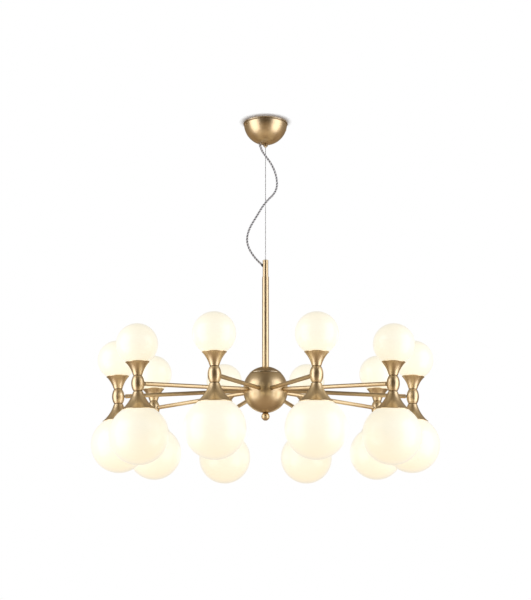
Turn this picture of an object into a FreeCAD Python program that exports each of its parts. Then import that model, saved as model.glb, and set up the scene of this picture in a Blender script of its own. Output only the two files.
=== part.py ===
# Multi arm chandelier. A bowl canopy on the ceiling holds a thin steel rope through a rope gripper, and
# a power cord hangs in loose bends beside the rope. The rope carries a two-part stem with a swivel, a
# round hub and ten arms. Each arm ends in a turned head: a barrel with a trumpet and a small opal globe
# above it, and a wider trumpet with a large opal globe below it.
# Millimetres, +Z up. The origin is on the ceiling plane, on the axis of the canopy and the stem.

import FreeCAD, Part
import os
from math import acos, cos, degrees, pi, radians, sin, sqrt, tan

Vector = FreeCAD.Vector
Z_AXIS = Vector(0, 0, 1)
ORIGIN = Vector(0, 0, 0)

# ---- Driving dimensions -------------------------------------------------------------------------

ARM_COUNT = 10
RING_RADIUS = 380.0          # from the axis to the middle of each head's barrel
HUB_Z = -727.0               # centre of the hub below the ceiling
ARM_DROOP = radians(2.7)     # the arms slope down from the hub, and the heads lean out by as much
SLIP = 0.3                   # gap between curved faces of neighbouring pieces
FIT = 0.05                   # radial clearance of a running fit

# Canopy
CANOPY_RADIUS = 58.5
CANOPY_WALL = 1.2
CANOPY_LIP_RADIUS = 59.7
CANOPY_LIP_HEIGHT = 3.0
PLATE_RADIUS = 44.0
PLATE_THICKNESS = 1.5
PLATE_SLOT_SPACING = 60.0
PLATE_SLOT_WIDTH = 5.0
PLATE_SLOT_LENGTH = 16.0
PLATE_CABLE_HOLE_RADIUS = 8.0
EAR_WIDTH = 12.0
EAR_REACH = 54.0
EAR_DROP = 15.0
SIDE_SCREW_Z = -9.0
SIDE_SCREW_AZIMUTH = 204.0   # degrees from +X, and the other screw is opposite
SIDE_SCREW_RADIUS = 1.5
SIDE_SCREW_START = 48.0      # from the axis to the screw's inner end
SIDE_SCREW_HOLE_RADIUS = 2.2
SCREW_HEAD_START = 58.7      # from the axis to the underside of the screw's head
SCREW_HEAD_RADIUS = 3.2
SCREW_HEAD_HEIGHT = 2.4
SCREW_SLOT_WIDTH = 0.9
SCREW_SLOT_DEPTH = 0.8

# Rope gripper
GRIPPER_FLANGE_RADIUS = 6.3
GRIPPER_BOTTOM_Z = -64.5
GRIPPER_SHANK_RADIUS = 5.0
GRIPPER_TOP_Z = -43.0
GRIPPER_CAVITY_RADIUS = 3.9
GRIPPER_SEAT_GAP = 0.45      # between the flange and the bowl
GRIPPER_FLOOR = 4.0          # thickness of the cavity's floor
GRIPPER_ROOF = 2.0
GRIPPER_NUT_Z = -54.3
GRIPPER_NUT_CORNER = 8.5
GRIPPER_NUT_HEIGHT = 5.0
PLUNGER_RADIUS = 2.5
PLUNGER_TIP_Z = -69.0
PLUNGER_COLLAR_RADIUS = 3.8
PLUNGER_COLLAR_HEIGHT = 2.0
SPRING_WIRE_RADIUS = 0.4
SPRING_COIL_RADIUS = 2.9
SPRING_TURNS = 5
ROPE_RADIUS = 1.0
ROPE_HOLE_RADIUS = 1.35
ROPE_TOP_Z = -37.0
ROPE_STOP_RADIUS = 2.4
ROPE_STOP_LENGTH = 7.0
STOP_BOTTOM_WALL = 1.0       # how far the rope's end stays below the stop's top

# Power cord: its route from the canopy's bush to the grommet in the stem head
CORD_RADIUS = 3.0
CORD_ROUTE = [
    (-15.0, 0.0, -60.0),
    (-11.9, 0.0, -71.6),
    (-6.5, -4.0, -84.5),
    (3.0, -9.0, -99.0),
    (14.5, -10.0, -116.0),
    (24.5, -7.0, -136.0),
    (30.5, -3.5, -159.0),
    (31.0, -2.0, -181.0),
    (22.5, -4.5, -201.0),
    (7.5, -9.5, -217.0),
    (-7.5, -11.0, -236.0),
    (-22.5, -8.5, -262.0),
    (-38.5, -4.0, -287.0),
    (-48.0, -1.0, -310.0),
    (-49.5, 0.5, -332.0),
    (-42.0, 1.0, -354.0),
    (-30.0, 0.5, -372.0),
    (-18.5, 0.0, -385.5),
    (-9.0, 0.0, -394.0),
]

# The cord's bush in the bowl and its grommet in the stem head, both along the cord
BUSH_RADIUS = 4.5
BUSH_BORE = 2.0
BUSH_LENGTH = 12.0
BUSH_NOSE_LENGTH = 4.0
BUSH_NOSE_RADIUS = 3.6
GROMMET_RADIUS = 3.8
GROMMET_BORE = 2.2
GROMMET_LENGTH = 5.5

# Stem
STEM_TOP_Z = -381.5
STEM_STEP_Z = -427.0
STEM_HEAD_RADIUS = 7.4
STEM_HEAD_BORE = 5.9
STEM_HEAD_FLOOR = 3.0
STEM_HEAD_CHAMFER = 0.8
STEM_TUBE_RADIUS = 8.75
STEM_TUBE_BORE = 7.75
STEM_FOOT_LENGTH = 20.0
STEM_SHANK_RADIUS = 5.0      # the threaded shank under the foot
STEM_SHANK_BORE = 3.0
SPIGOT_RADIUS = 5.5
SPIGOT_BORE = 3.4
SWIVEL_GAP = 0.4             # between the stem head and what turns under it
SWIVEL_PLUG_LENGTH = 20.0
SWIVEL_NUT_HEIGHT = 4.0
SWIVEL_NUT_RADIUS = 7.3
SWIVEL_NUT_GAP = 0.2
SWIVEL_STOP_RADIUS = 6.4     # where the stop pin of the swivel runs
SWIVEL_PIN_RADIUS = 0.7
SWIVEL_STOP_HALF_ANGLE = 6.0
SWIVEL_GROOVE_DEPTH = 2.4

# Hub
HUB_RADIUS = 57.5
HUB_WALL = 1.2
HUB_BAND = 2.3               # half the height of the straight band between the two shells
CAP_SEAM_RADIUS = 41.0
ARM_HOLE_RADIUS = 5.9
CARRIER_RADIUS = 28.0
CARRIER_BORE = 14.0
CARRIER_HALF_HEIGHT = 9.0
CARRIER_WEB = 8.0
WIRE_HOLE_RADIUS = 2.6
WIRE_HOLE_RING = 9.5
BRIDGE_WIDTH = 10.0
BRIDGE_HEIGHT = 4.0
CAP_STEP = 0.7               # how far the cap stands proud of the shell
CAP_OVERLAP = 0.4
FINIAL_BALL_RADIUS = 10.6
FINIAL_BALL_Z = -69.3        # from the hub's centre
FINIAL_COLLAR_RADIUS = 6.6
FINIAL_ROD_RADIUS = 2.5

# Arms and heads, in the arm's own frame: X along the arm from the hub's centre, Z along the head
ARM_REACH = RING_RADIUS / cos(ARM_DROOP)
ARM_RADIUS = 5.25
ARM_BORE = 4.1
ARM_START_GAP = 0.6
ARM_END_GAP = 2.6
NIPPLE_RADIUS = 3.5
NIPPLE_BORE = 2.2
NIPPLE_GRIP = 15.0           # how far a nipple's wider end is pressed into the arm
BARREL_RADIUS = 16.0
BARREL_END_RADIUS = 10.8
BARREL_HALF_HEIGHT = 18.5
BARREL_WALL = 2.0
GROOVE_HEIGHT = 1.6
GROOVE_RADIUS = 9.9
HOLDER_THREAD_RADIUS = 5.0
TRUMPET_WALL = 1.2
TRUMPET_FLOOR = 2.0
RIM_BEAD_RADIUS = 1.0
TRUMPET_BASE = BARREL_HALF_HEIGHT + GROOVE_HEIGHT

# Each side of a head, with heights from the barrel's middle: the globe's radius, centre, glass wall,
# neck radius and neck end, then the trumpet's radius at its throat and rim and the radius of its flare
UPPER = dict(globe=50.7, centre=96.0, wall=2.2, neck=13.0, neck_end=43.5,
             throat=11.2, rim=28.0, flare=72.0)
LOWER = dict(globe=71.9, centre=123.6, wall=2.5, neck=16.0, neck_end=46.5,
             throat=12.0, rim=40.0, flare=86.0)

HOLDER_RADIUS = 8.0
HOLDER_SOCKET_RADIUS = 4.2
HOLDER_WIRE_RADIUS = 2.0
NECK_WALL = 2.2              # glass at the globe's neck
LAMP_BASE_RADIUS = 4.0
LAMP_RADIUS = 7.0
LAMP_LENGTH = 46.0


# ---- Shape helpers ------------------------------------------------------------------------------

def point(radius, height):
    """A point of a turned outline, in the XZ plane."""
    return Vector(radius, 0, height)


def turned(edges):
    """A solid of revolution about Z from a closed outline of edges in the XZ plane."""
    return Part.Face(Part.Wire(edges)).revolve(ORIGIN, Z_AXIS, 360)


def line(start, end):
    return Part.LineSegment(start, end).toShape()


def lines(points):
    """Straight edges through the points, left open."""
    return [line(a, b) for a, b in zip(points, points[1:])]


def arc_between(start, end, radius, inward):
    """An arc of that radius between two points, bulging to the left of start-end if inward is 1."""
    chord = end - start
    half = chord.Length / 2
    sagitta = radius - sqrt(radius * radius - half * half)
    side = Vector(-chord.z, 0, chord.x).normalize() * (sagitta * inward)
    return Part.Arc(start, (start + end) / 2 + side, end).toShape()


def circle_arc(centre_z, radius, start_radius, start_sign, end_radius, end_sign):
    """An arc of a circle centred on the axis, between two radii above (+1) or below (-1) its centre."""
    start = point(start_radius, centre_z + start_sign * sqrt(radius ** 2 - start_radius ** 2))
    end = point(end_radius, centre_z + end_sign * sqrt(radius ** 2 - end_radius ** 2))
    middle_dir = (start + end) / 2 - point(0, centre_z)
    if start_sign != end_sign:
        middle_dir = point(1, 0)
    middle = point(0, centre_z) + middle_dir.normalize() * radius
    return start, end, Part.Arc(start, middle, end).toShape()


def tube(outer, inner, low, high):
    """A straight round tube on the Z axis, or a rod where inner is 0."""
    body = Part.makeCylinder(outer, high - low, point(0, low))
    if inner > 0:
        body = body.cut(Part.makeCylinder(inner, high - low, point(0, low)))
    return body


def rod(radius, start, end):
    """A round rod from one point to another."""
    return Part.makeCylinder(radius, (end - start).Length, start, end - start)


def bead(ring_radius, bead_radius, height):
    """A round bead around the axis."""
    return Part.makeTorus(ring_radius, bead_radius, point(0, height))


def polar(radius, azimuth, height):
    """A point at an azimuth in degrees from +X."""
    return Vector(radius * cos(radians(azimuth)), radius * sin(radians(azimuth)), height)


def arm_placement(index):
    """From an arm's own frame to its place around the hub."""
    turn = FreeCAD.Rotation(Z_AXIS, 360.0 / ARM_COUNT * index)
    droop = FreeCAD.Rotation(Vector(0, 1, 0), degrees(ARM_DROOP))
    return FreeCAD.Placement(Vector(0, 0, HUB_Z), turn.multiply(droop))


def at_arm(shape, index):
    """A copy of a shape made in the arm's frame, at its arm."""
    placed = shape.copy()
    placed.Placement = arm_placement(index).multiply(placed.Placement)
    return placed


def on_all_arms(*shapes):
    """One group of solids: each shape repeated on every arm."""
    return Part.makeCompound([at_arm(s, i) for i in range(ARM_COUNT) for s in shapes])


def at_head(shape, side):
    """Moves a shape turned about Z to the head, and turns it over for the lower side (-1)."""
    placed = shape.copy()
    if side < 0:
        placed.rotate(ORIGIN, Vector(1, 0, 0), 180)
    placed.translate(Vector(ARM_REACH, 0, 0))
    return placed


# ---- Canopy -------------------------------------------------------------------------------------

def side_screw_axes():
    return [SIDE_SCREW_AZIMUTH, SIDE_SCREW_AZIMUTH - 180.0]


def cord_exit():
    """The point and the direction in which the cord leaves the canopy."""
    start = Vector(*CORD_ROUTE[0])
    return start, (Vector(*CORD_ROUTE[1]) - start).normalize()


def canopy_bowl():
    inner = CANOPY_RADIUS - CANOPY_WALL
    hole = GRIPPER_SHANK_RADIUS + 0.1
    outer_start, outer_end, outer_arc = circle_arc(0, CANOPY_RADIUS, CANOPY_RADIUS, -1, hole, -1)
    inner_start, inner_end, inner_arc = circle_arc(0, inner, hole, -1, inner, -1)
    bowl = turned([outer_arc, line(outer_end, inner_start), inner_arc, line(inner_end, outer_start)])
    lip = tube(CANOPY_LIP_RADIUS, inner, -CANOPY_LIP_HEIGHT, 0)
    bowl = bowl.fuse(lip).removeSplitter()
    exit_point, direction = cord_exit()
    bowl = bowl.cut(rod(BUSH_RADIUS + 0.1, exit_point - direction * BUSH_LENGTH, exit_point))
    for azimuth in side_screw_axes():
        start = polar(CANOPY_RADIUS - 8, azimuth, SIDE_SCREW_Z)
        end = polar(CANOPY_RADIUS + 4, azimuth, SIDE_SCREW_Z)
        bowl = bowl.cut(rod(SIDE_SCREW_HOLE_RADIUS, start, end))
    return bowl


def ceiling_plate():
    """A round plate with two slots along X, a cable hole and two ears that take the side screws."""
    plate = tube(PLATE_RADIUS, PLATE_CABLE_HOLE_RADIUS, -PLATE_THICKNESS, 0)
    for azimuth in side_screw_axes():
        root = PLATE_RADIUS - 4
        arm = Part.makeBox(EAR_REACH - root, EAR_WIDTH, PLATE_THICKNESS,
                           Vector(root, -EAR_WIDTH / 2, -PLATE_THICKNESS))
        drop = Part.makeBox(PLATE_THICKNESS, EAR_WIDTH, EAR_DROP,
                            Vector(EAR_REACH - PLATE_THICKNESS, -EAR_WIDTH / 2, -EAR_DROP))
        thread_start = Vector(EAR_REACH - 5, 0, SIDE_SCREW_Z)
        thread = rod(SIDE_SCREW_RADIUS + 0.1, thread_start, thread_start + Vector(10, 0, 0))
        ear = arm.fuse(drop).cut(thread)
        ear.rotate(ORIGIN, Z_AXIS, azimuth)
        plate = plate.fuse(ear)
    plate = plate.removeSplitter()
    straight = PLATE_SLOT_LENGTH - PLATE_SLOT_WIDTH
    for side in (-1, 1):
        middle = side * PLATE_SLOT_SPACING / 2
        slot = Part.makeBox(straight, PLATE_SLOT_WIDTH, PLATE_THICKNESS,
                            Vector(middle - straight / 2, -PLATE_SLOT_WIDTH / 2, -PLATE_THICKNESS))
        for end in (-1, 1):
            slot = slot.fuse(Part.makeCylinder(PLATE_SLOT_WIDTH / 2, PLATE_THICKNESS,
                                               Vector(middle + end * straight / 2, 0, -PLATE_THICKNESS)))
        plate = plate.cut(slot)
    return plate


def side_screw(azimuth):
    """A knurled thumb screw through the bowl into an ear of the plate, with a cross slot."""
    head_end = SCREW_HEAD_START + SCREW_HEAD_HEIGHT
    shank = rod(SIDE_SCREW_RADIUS, Vector(SIDE_SCREW_START, 0, 0), Vector(SCREW_HEAD_START, 0, 0))
    head = rod(SCREW_HEAD_RADIUS, Vector(SCREW_HEAD_START, 0, 0), Vector(head_end, 0, 0))
    slot = Part.makeBox(1.0, 8, SCREW_SLOT_WIDTH,
                        Vector(head_end - SCREW_SLOT_DEPTH, -4, -SCREW_SLOT_WIDTH / 2))
    screw = shank.fuse(head).cut(slot)
    screw.translate(point(0, SIDE_SCREW_Z))
    screw.rotate(ORIGIN, Z_AXIS, azimuth)
    return screw


def canopy_side_screws():
    return Part.makeCompound([side_screw(a) for a in side_screw_axes()])


def gripper_body():
    """A flange under the bowl, a threaded shank up through it and the plunger's cavity inside."""
    flange_top = -sqrt(CANOPY_RADIUS ** 2 - GRIPPER_FLANGE_RADIUS ** 2) - GRIPPER_SEAT_GAP
    cavity_low = GRIPPER_BOTTOM_Z + GRIPPER_FLOOR
    cavity_high = GRIPPER_TOP_Z - GRIPPER_ROOF
    body = tube(GRIPPER_SHANK_RADIUS, 0, flange_top, GRIPPER_TOP_Z)
    body = body.fuse(tube(GRIPPER_FLANGE_RADIUS, 0, GRIPPER_BOTTOM_Z, flange_top)).removeSplitter()
    body = body.cut(tube(GRIPPER_CAVITY_RADIUS, 0, cavity_low, cavity_high))
    body = body.cut(tube(PLUNGER_RADIUS + FIT, 0, GRIPPER_BOTTOM_Z - 1, cavity_low + 1))
    return body.cut(tube(ROPE_HOLE_RADIUS, 0, cavity_high - 1, GRIPPER_TOP_Z + 1))


def gripper_nut():
    """The hexagon nut that clamps the gripper from inside the bowl."""
    high = GRIPPER_NUT_Z + GRIPPER_NUT_HEIGHT
    corners = [polar(GRIPPER_NUT_CORNER, 60.0 * i, GRIPPER_NUT_Z) for i in range(7)]
    nut = Part.Face(Part.makePolygon(corners)).extrude(Vector(0, 0, GRIPPER_NUT_HEIGHT))
    return nut.cut(tube(GRIPPER_SHANK_RADIUS + 0.02, 0, GRIPPER_NUT_Z - 1, high + 1))


def plunger_collar_low():
    return GRIPPER_BOTTOM_Z + GRIPPER_FLOOR


def gripper_plunger():
    """The tip that is pushed up to free the rope, with the collar that its spring rests on."""
    low = plunger_collar_low()
    high = low + PLUNGER_COLLAR_HEIGHT
    body = tube(PLUNGER_RADIUS, 0, PLUNGER_TIP_Z, high)
    body = body.fuse(tube(PLUNGER_COLLAR_RADIUS, 0, low, high)).removeSplitter()
    return body.cut(tube(ROPE_HOLE_RADIUS, 0, PLUNGER_TIP_Z - 1, high + 1))


def gripper_spring():
    """The coil spring between the plunger's collar and the top of the cavity."""
    low = plunger_collar_low() + PLUNGER_COLLAR_HEIGHT + SPRING_WIRE_RADIUS
    height = GRIPPER_TOP_Z - GRIPPER_ROOF - SPRING_WIRE_RADIUS - low
    helix = Part.makeHelix(height / SPRING_TURNS, height, SPRING_COIL_RADIUS)
    start = Vector(SPRING_COIL_RADIUS, 0, 0)
    profile = Part.Wire(Part.makeCircle(SPRING_WIRE_RADIUS, start, Vector(0, 1, 0)))
    coil = Part.Wire(helix).makePipeShell([profile], True, True)
    coil.translate(point(0, low))
    return coil


def cord_bush():
    """The clear bush in the bowl that the cord leaves by, with a tapered nose."""
    exit_point, direction = cord_exit()
    nose = Part.makeCone(BUSH_RADIUS, BUSH_NOSE_RADIUS, BUSH_NOSE_LENGTH, point(0, -BUSH_NOSE_LENGTH))
    body = tube(BUSH_RADIUS, BUSH_BORE, -BUSH_LENGTH, -BUSH_NOSE_LENGTH).fuse(nose)
    body = body.removeSplitter().cut(tube(BUSH_BORE, 0, -BUSH_LENGTH - 1, 1))
    body.Placement = FreeCAD.Placement(exit_point, FreeCAD.Rotation(Z_AXIS, direction))
    return body


def terminal_block():
    """The connector block for the supply, under the plate."""
    length, width, height = 30, 14, 13
    middle_y = -29
    bottom = -PLATE_THICKNESS - height
    wire_z = -9
    block = Part.makeBox(length, width, height, Vector(-length / 2, middle_y - width / 2, bottom))
    for x in (-9, 0, 9):
        block = block.cut(rod(2.0, Vector(x, middle_y - width, wire_z), Vector(x, middle_y + width, wire_z)))
        block = block.cut(rod(1.8, Vector(x, middle_y, bottom - 1), Vector(x, middle_y, wire_z - 2)))
    return block


# ---- Rope and cord ------------------------------------------------------------------------------

def rope_stop_top():
    return STEM_TOP_Z - STEM_HEAD_FLOOR


def steel_rope():
    return tube(ROPE_RADIUS, 0, rope_stop_top() - STOP_BOTTOM_WALL, ROPE_TOP_Z)


def rope_stop():
    """The ferrule pressed on the rope's end, which the stem head hangs on."""
    top = rope_stop_top()
    stop = tube(ROPE_STOP_RADIUS, 0, top - ROPE_STOP_LENGTH, top)
    return stop.cut(tube(ROPE_RADIUS + 0.02, 0, top - STOP_BOTTOM_WALL - 0.02, top + 1))


def rounded_path(route):
    """Straight runs joined by tangent arcs, each as large as its two runs allow, and the arcs' radii."""
    points = [Vector(*p) for p in route]
    edges = []
    radii = []
    last = points[0]
    for before, corner, after in zip(points, points[1:], points[2:]):
        into = (corner - before).normalize()
        out = (after - corner).normalize()
        turn = acos(into.dot(out))
        setback = 0.45 * min((corner - before).Length, (after - corner).Length)
        radius = setback / tan(turn / 2)
        arc_start = corner - into * setback
        arc_end = corner + out * setback
        to_centre = (out - into).normalize()
        reach = radius / cos(turn / 2) - radius
        edges.append(line(last, arc_start))
        edges.append(Part.Arc(arc_start, corner + to_centre * reach, arc_end).toShape())
        radii.append(radius)
        last = arc_end
    edges.append(line(last, points[-1]))
    return Part.Wire(edges), radii


def power_cord():
    path, radii = rounded_path(CORD_ROUTE)
    start, direction = cord_exit()
    section = Part.Wire(Part.makeCircle(CORD_RADIUS, start, direction))
    cord = path.makePipeShell([section], True, False)
    ideal = pi * CORD_RADIUS ** 2 * path.Length
    print("cord length", round(path.Length, 1), "volume ratio", round(cord.Volume / ideal, 4))
    print("cord radii", [round(r) for r in radii])
    return cord


# ---- Stem ---------------------------------------------------------------------------------------

def cord_entry():
    """The point and the direction in which the cord goes into the stem head."""
    end = Vector(*CORD_ROUTE[-1])
    return end, (end - Vector(*CORD_ROUTE[-2])).normalize()


def swivel_nut_top():
    return STEM_STEP_Z - SWIVEL_GAP - SWIVEL_PLUG_LENGTH - SWIVEL_NUT_GAP


def stem_head():
    """The narrow upper section: a closed sleeve on the rope, with the spigot of the swivel below."""
    spigot_low = swivel_nut_top() - SWIVEL_NUT_HEIGHT
    chamfer = STEM_HEAD_CHAMFER
    sleeve = tube(STEM_HEAD_RADIUS, 0, STEM_STEP_Z, STEM_TOP_Z - chamfer)
    top = Part.makeCone(STEM_HEAD_RADIUS, STEM_HEAD_RADIUS - chamfer, chamfer, point(0, STEM_TOP_Z - chamfer))
    spigot = tube(SPIGOT_RADIUS, 0, spigot_low, STEM_STEP_Z)
    head = sleeve.fuse([top, spigot]).removeSplitter()
    room_low = STEM_STEP_Z + STEM_HEAD_FLOOR
    room_high = STEM_TOP_Z - STEM_HEAD_FLOOR
    head = head.cut(tube(STEM_HEAD_BORE, 0, room_low, room_high))
    head = head.cut(tube(SPIGOT_BORE, 0, spigot_low - 1, room_low + 1))
    head = head.cut(tube(ROPE_HOLE_RADIUS, 0, room_high - 1, STEM_TOP_Z + 1))
    end, direction = cord_entry()
    return head.cut(rod(GROMMET_RADIUS + 0.1, end - direction, end + direction * (GROMMET_LENGTH + 2.5)))


def stem_grommet():
    """The rubber grommet in the stem head's side, which the cord goes into."""
    end, direction = cord_entry()
    bore = rod(GROMMET_BORE, end - direction, end + direction * (GROMMET_LENGTH + 1))
    return rod(GROMMET_RADIUS, end, end + direction * GROMMET_LENGTH).cut(bore)


def swivel_pin():
    low = Vector(SWIVEL_STOP_RADIUS, 0, swivel_nut_top() - 1)
    return rod(SWIVEL_PIN_RADIUS, low, low + Vector(0, 0, 3))


def swivel_nut():
    """The ring on the spigot's end that carries the tube's plug, with a pin that stops the turn."""
    top = swivel_nut_top()
    ring = tube(SWIVEL_NUT_RADIUS, SPIGOT_RADIUS + 0.02, top - SWIVEL_NUT_HEIGHT, top)
    return ring.fuse(swivel_pin()).removeSplitter()


def swivel_plug():
    """The bearing pressed into the tube's top. A groove under it lets the pin turn to its stops."""
    high = STEM_STEP_Z - SWIVEL_GAP
    low = high - SWIVEL_PLUG_LENGTH
    plug = tube(STEM_TUBE_BORE, SPIGOT_RADIUS + FIT, low, high)
    groove_radius = SWIVEL_STOP_RADIUS + SWIVEL_PIN_RADIUS + 0.25
    groove = tube(groove_radius, 0, low, low + SWIVEL_GROOVE_DEPTH)
    blade = Part.makeCylinder(12, 3, point(0, low - 0.2), Z_AXIS, 2 * SWIVEL_STOP_HALF_ANGLE)
    blade.rotate(ORIGIN, Z_AXIS, 180 - SWIVEL_STOP_HALF_ANGLE)
    return plug.cut(groove.cut(blade))


def carrier_top():
    return HUB_Z + CARRIER_HALF_HEIGHT + CARRIER_WEB


def stem_tube():
    return tube(STEM_TUBE_RADIUS, STEM_TUBE_BORE, carrier_top(), STEM_STEP_Z - SWIVEL_GAP)


def stem_foot():
    """The plug pressed into the tube's lower end, with the threaded shank that holds the carrier."""
    low = carrier_top()
    high = low + STEM_FOOT_LENGTH
    foot = tube(STEM_TUBE_BORE, 0, low, high)
    foot = foot.fuse(tube(STEM_SHANK_RADIUS, 0, low - CARRIER_WEB, low)).removeSplitter()
    return foot.cut(tube(STEM_SHANK_BORE, 0, low - CARRIER_WEB - 1, high + 1))


# ---- Hub ----------------------------------------------------------------------------------------

def arm_bores(radius, start, end):
    """Cutters along the arms' axes, from one distance to another."""
    cutter = rod(radius, Vector(start, 0, 0), Vector(end, 0, 0))
    return [at_arm(cutter, i) for i in range(ARM_COUNT)]


def hub_shell(side):
    """One half of the hub's casing, in the hub's frame: the upper (+1) or the lower (-1)."""
    inner = HUB_RADIUS - HUB_WALL
    mouth = CAP_SEAM_RADIUS if side > 0 else FINIAL_ROD_RADIUS + 0.7
    centre = side * HUB_BAND
    outer_start, outer_end, outer_arc = circle_arc(centre, HUB_RADIUS, HUB_RADIUS, side, mouth, side)
    inner_start, inner_end, inner_arc = circle_arc(centre, inner, mouth - 0.001, side, inner, side)
    band_outer = point(HUB_RADIUS, 0)
    band_inner = point(inner, 0)
    outline = [line(band_outer, outer_start), outer_arc, line(outer_end, inner_start), inner_arc,
               line(inner_end, band_inner), line(band_inner, band_outer)]
    shell = turned(outline)
    shell.translate(point(0, HUB_Z))
    return shell.cut(arm_bores(ARM_HOLE_RADIUS, HUB_RADIUS - 8, HUB_RADIUS + 8))


def hub_top_cap():
    """The dome that closes the upper shell around the stem, with a locating ring inside its edge."""
    outer = HUB_RADIUS + CAP_STEP
    inner = outer - HUB_WALL
    hole = STEM_TUBE_RADIUS + SLIP
    edge = CAP_SEAM_RADIUS + CAP_OVERLAP
    outer_start, outer_end, outer_arc = circle_arc(HUB_BAND, outer, edge, 1, hole, 1)
    inner_start, inner_end, inner_arc = circle_arc(HUB_BAND, HUB_RADIUS + 0.05, hole, 1, edge, 1)
    cap = turned([outer_arc, line(outer_end, inner_start), inner_arc, line(inner_end, outer_start)])
    seat = HUB_BAND + sqrt(inner ** 2 - (CAP_SEAM_RADIUS - 2) ** 2)
    ring = tube(CAP_SEAM_RADIUS - 0.4, CAP_SEAM_RADIUS - 1.6, seat - 4.0, seat + 0.2)
    cap = cap.fuse(ring).removeSplitter()
    cap.translate(point(0, HUB_Z))
    return cap


def hub_carrier():
    """The block that the arms are screwed into, hung on the stem, with wire holes and a lower bridge."""
    height = CARRIER_HALF_HEIGHT
    carrier = tube(CARRIER_RADIUS, CARRIER_BORE, -height, height)
    web = tube(CARRIER_RADIUS, STEM_SHANK_RADIUS + 0.02, height, height + CARRIER_WEB)
    for azimuth in (45, 135, 225, 315):
        hole_low = polar(WIRE_HOLE_RING, azimuth, height)
        web = web.cut(rod(WIRE_HOLE_RADIUS, hole_low, hole_low + Vector(0, 0, CARRIER_WEB)))
    bridge_low = -height - BRIDGE_HEIGHT
    bridge_half = CARRIER_RADIUS - 3
    bridge = Part.makeBox(2 * bridge_half, BRIDGE_WIDTH, BRIDGE_HEIGHT,
                          Vector(-bridge_half, -BRIDGE_WIDTH / 2, bridge_low))
    bridge = bridge.cut(tube(FINIAL_ROD_RADIUS + 0.02, 0, bridge_low - 1, -height + 1))
    carrier = carrier.fuse([web, bridge]).removeSplitter()
    carrier.translate(point(0, HUB_Z))
    return carrier.cut(arm_bores(NIPPLE_RADIUS + 0.02, CARRIER_BORE - 4, CARRIER_RADIUS + 4))


def finial():
    """The ball nut and its rod, which draw the lower shell up to the carrier."""
    bottom = -HUB_BAND - HUB_RADIUS
    finial_rod = tube(FINIAL_ROD_RADIUS, 0, FINIAL_BALL_Z, -CARRIER_HALF_HEIGHT - 0.5)
    collar = tube(FINIAL_COLLAR_RADIUS, 0, bottom - 3.4, bottom - 0.05)
    ball = Part.makeSphere(FINIAL_BALL_RADIUS, point(0, FINIAL_BALL_Z))
    ball = ball.cut(tube(FINIAL_BALL_RADIUS + 1, 0, bottom - 2.0, bottom + 4))
    body = finial_rod.fuse([collar, ball]).removeSplitter()
    body.translate(point(0, HUB_Z))
    return body


def hub_connectors():
    """Two connector blocks on the carrier, where the arms' wires join the cord's."""
    length, width, height = 26, 9, 10
    wire_z = carrier_top() + height / 2
    blocks = []
    for middle_y in (-15.5, 15.5):
        block = Part.makeBox(length, width, height, Vector(-length / 2, middle_y - width / 2, carrier_top()))
        for x in (-8, 0, 8):
            wire_start = Vector(x, middle_y - width, wire_z)
            block = block.cut(rod(1.7, wire_start, wire_start + Vector(0, 2 * width, 0)))
        blocks.append(block)
    return Part.makeCompound(blocks)


# ---- Arms and heads, in the arm's frame -----------------------------------------------------------

def arm_end():
    return ARM_REACH - BARREL_RADIUS - ARM_END_GAP


def arm_tube():
    body = rod(ARM_RADIUS, Vector(CARRIER_RADIUS + ARM_START_GAP, 0, 0), Vector(arm_end(), 0, 0))
    return body.cut(rod(ARM_BORE, Vector(CARRIER_RADIUS - 1, 0, 0), Vector(arm_end() + 1, 0, 0)))


def arm_nipples():
    """The threaded tubes that join each arm to the carrier and to its head."""
    start = CARRIER_RADIUS + ARM_START_GAP
    inner = rod(NIPPLE_RADIUS, Vector(CARRIER_BORE + 2, 0, 0), Vector(start, 0, 0))
    inner = inner.fuse(rod(ARM_BORE, Vector(start, 0, 0), Vector(start + NIPPLE_GRIP, 0, 0)))
    outer = rod(NIPPLE_RADIUS, Vector(arm_end(), 0, 0), Vector(ARM_REACH - BARREL_RADIUS + BARREL_WALL, 0, 0))
    outer = outer.fuse(rod(ARM_BORE, Vector(arm_end() - NIPPLE_GRIP, 0, 0), Vector(arm_end(), 0, 0)))
    bore = rod(NIPPLE_BORE, Vector(10, 0, 0), Vector(ARM_REACH, 0, 0))
    return on_all_arms(inner.removeSplitter().cut(bore), outer.removeSplitter().cut(bore))


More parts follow.
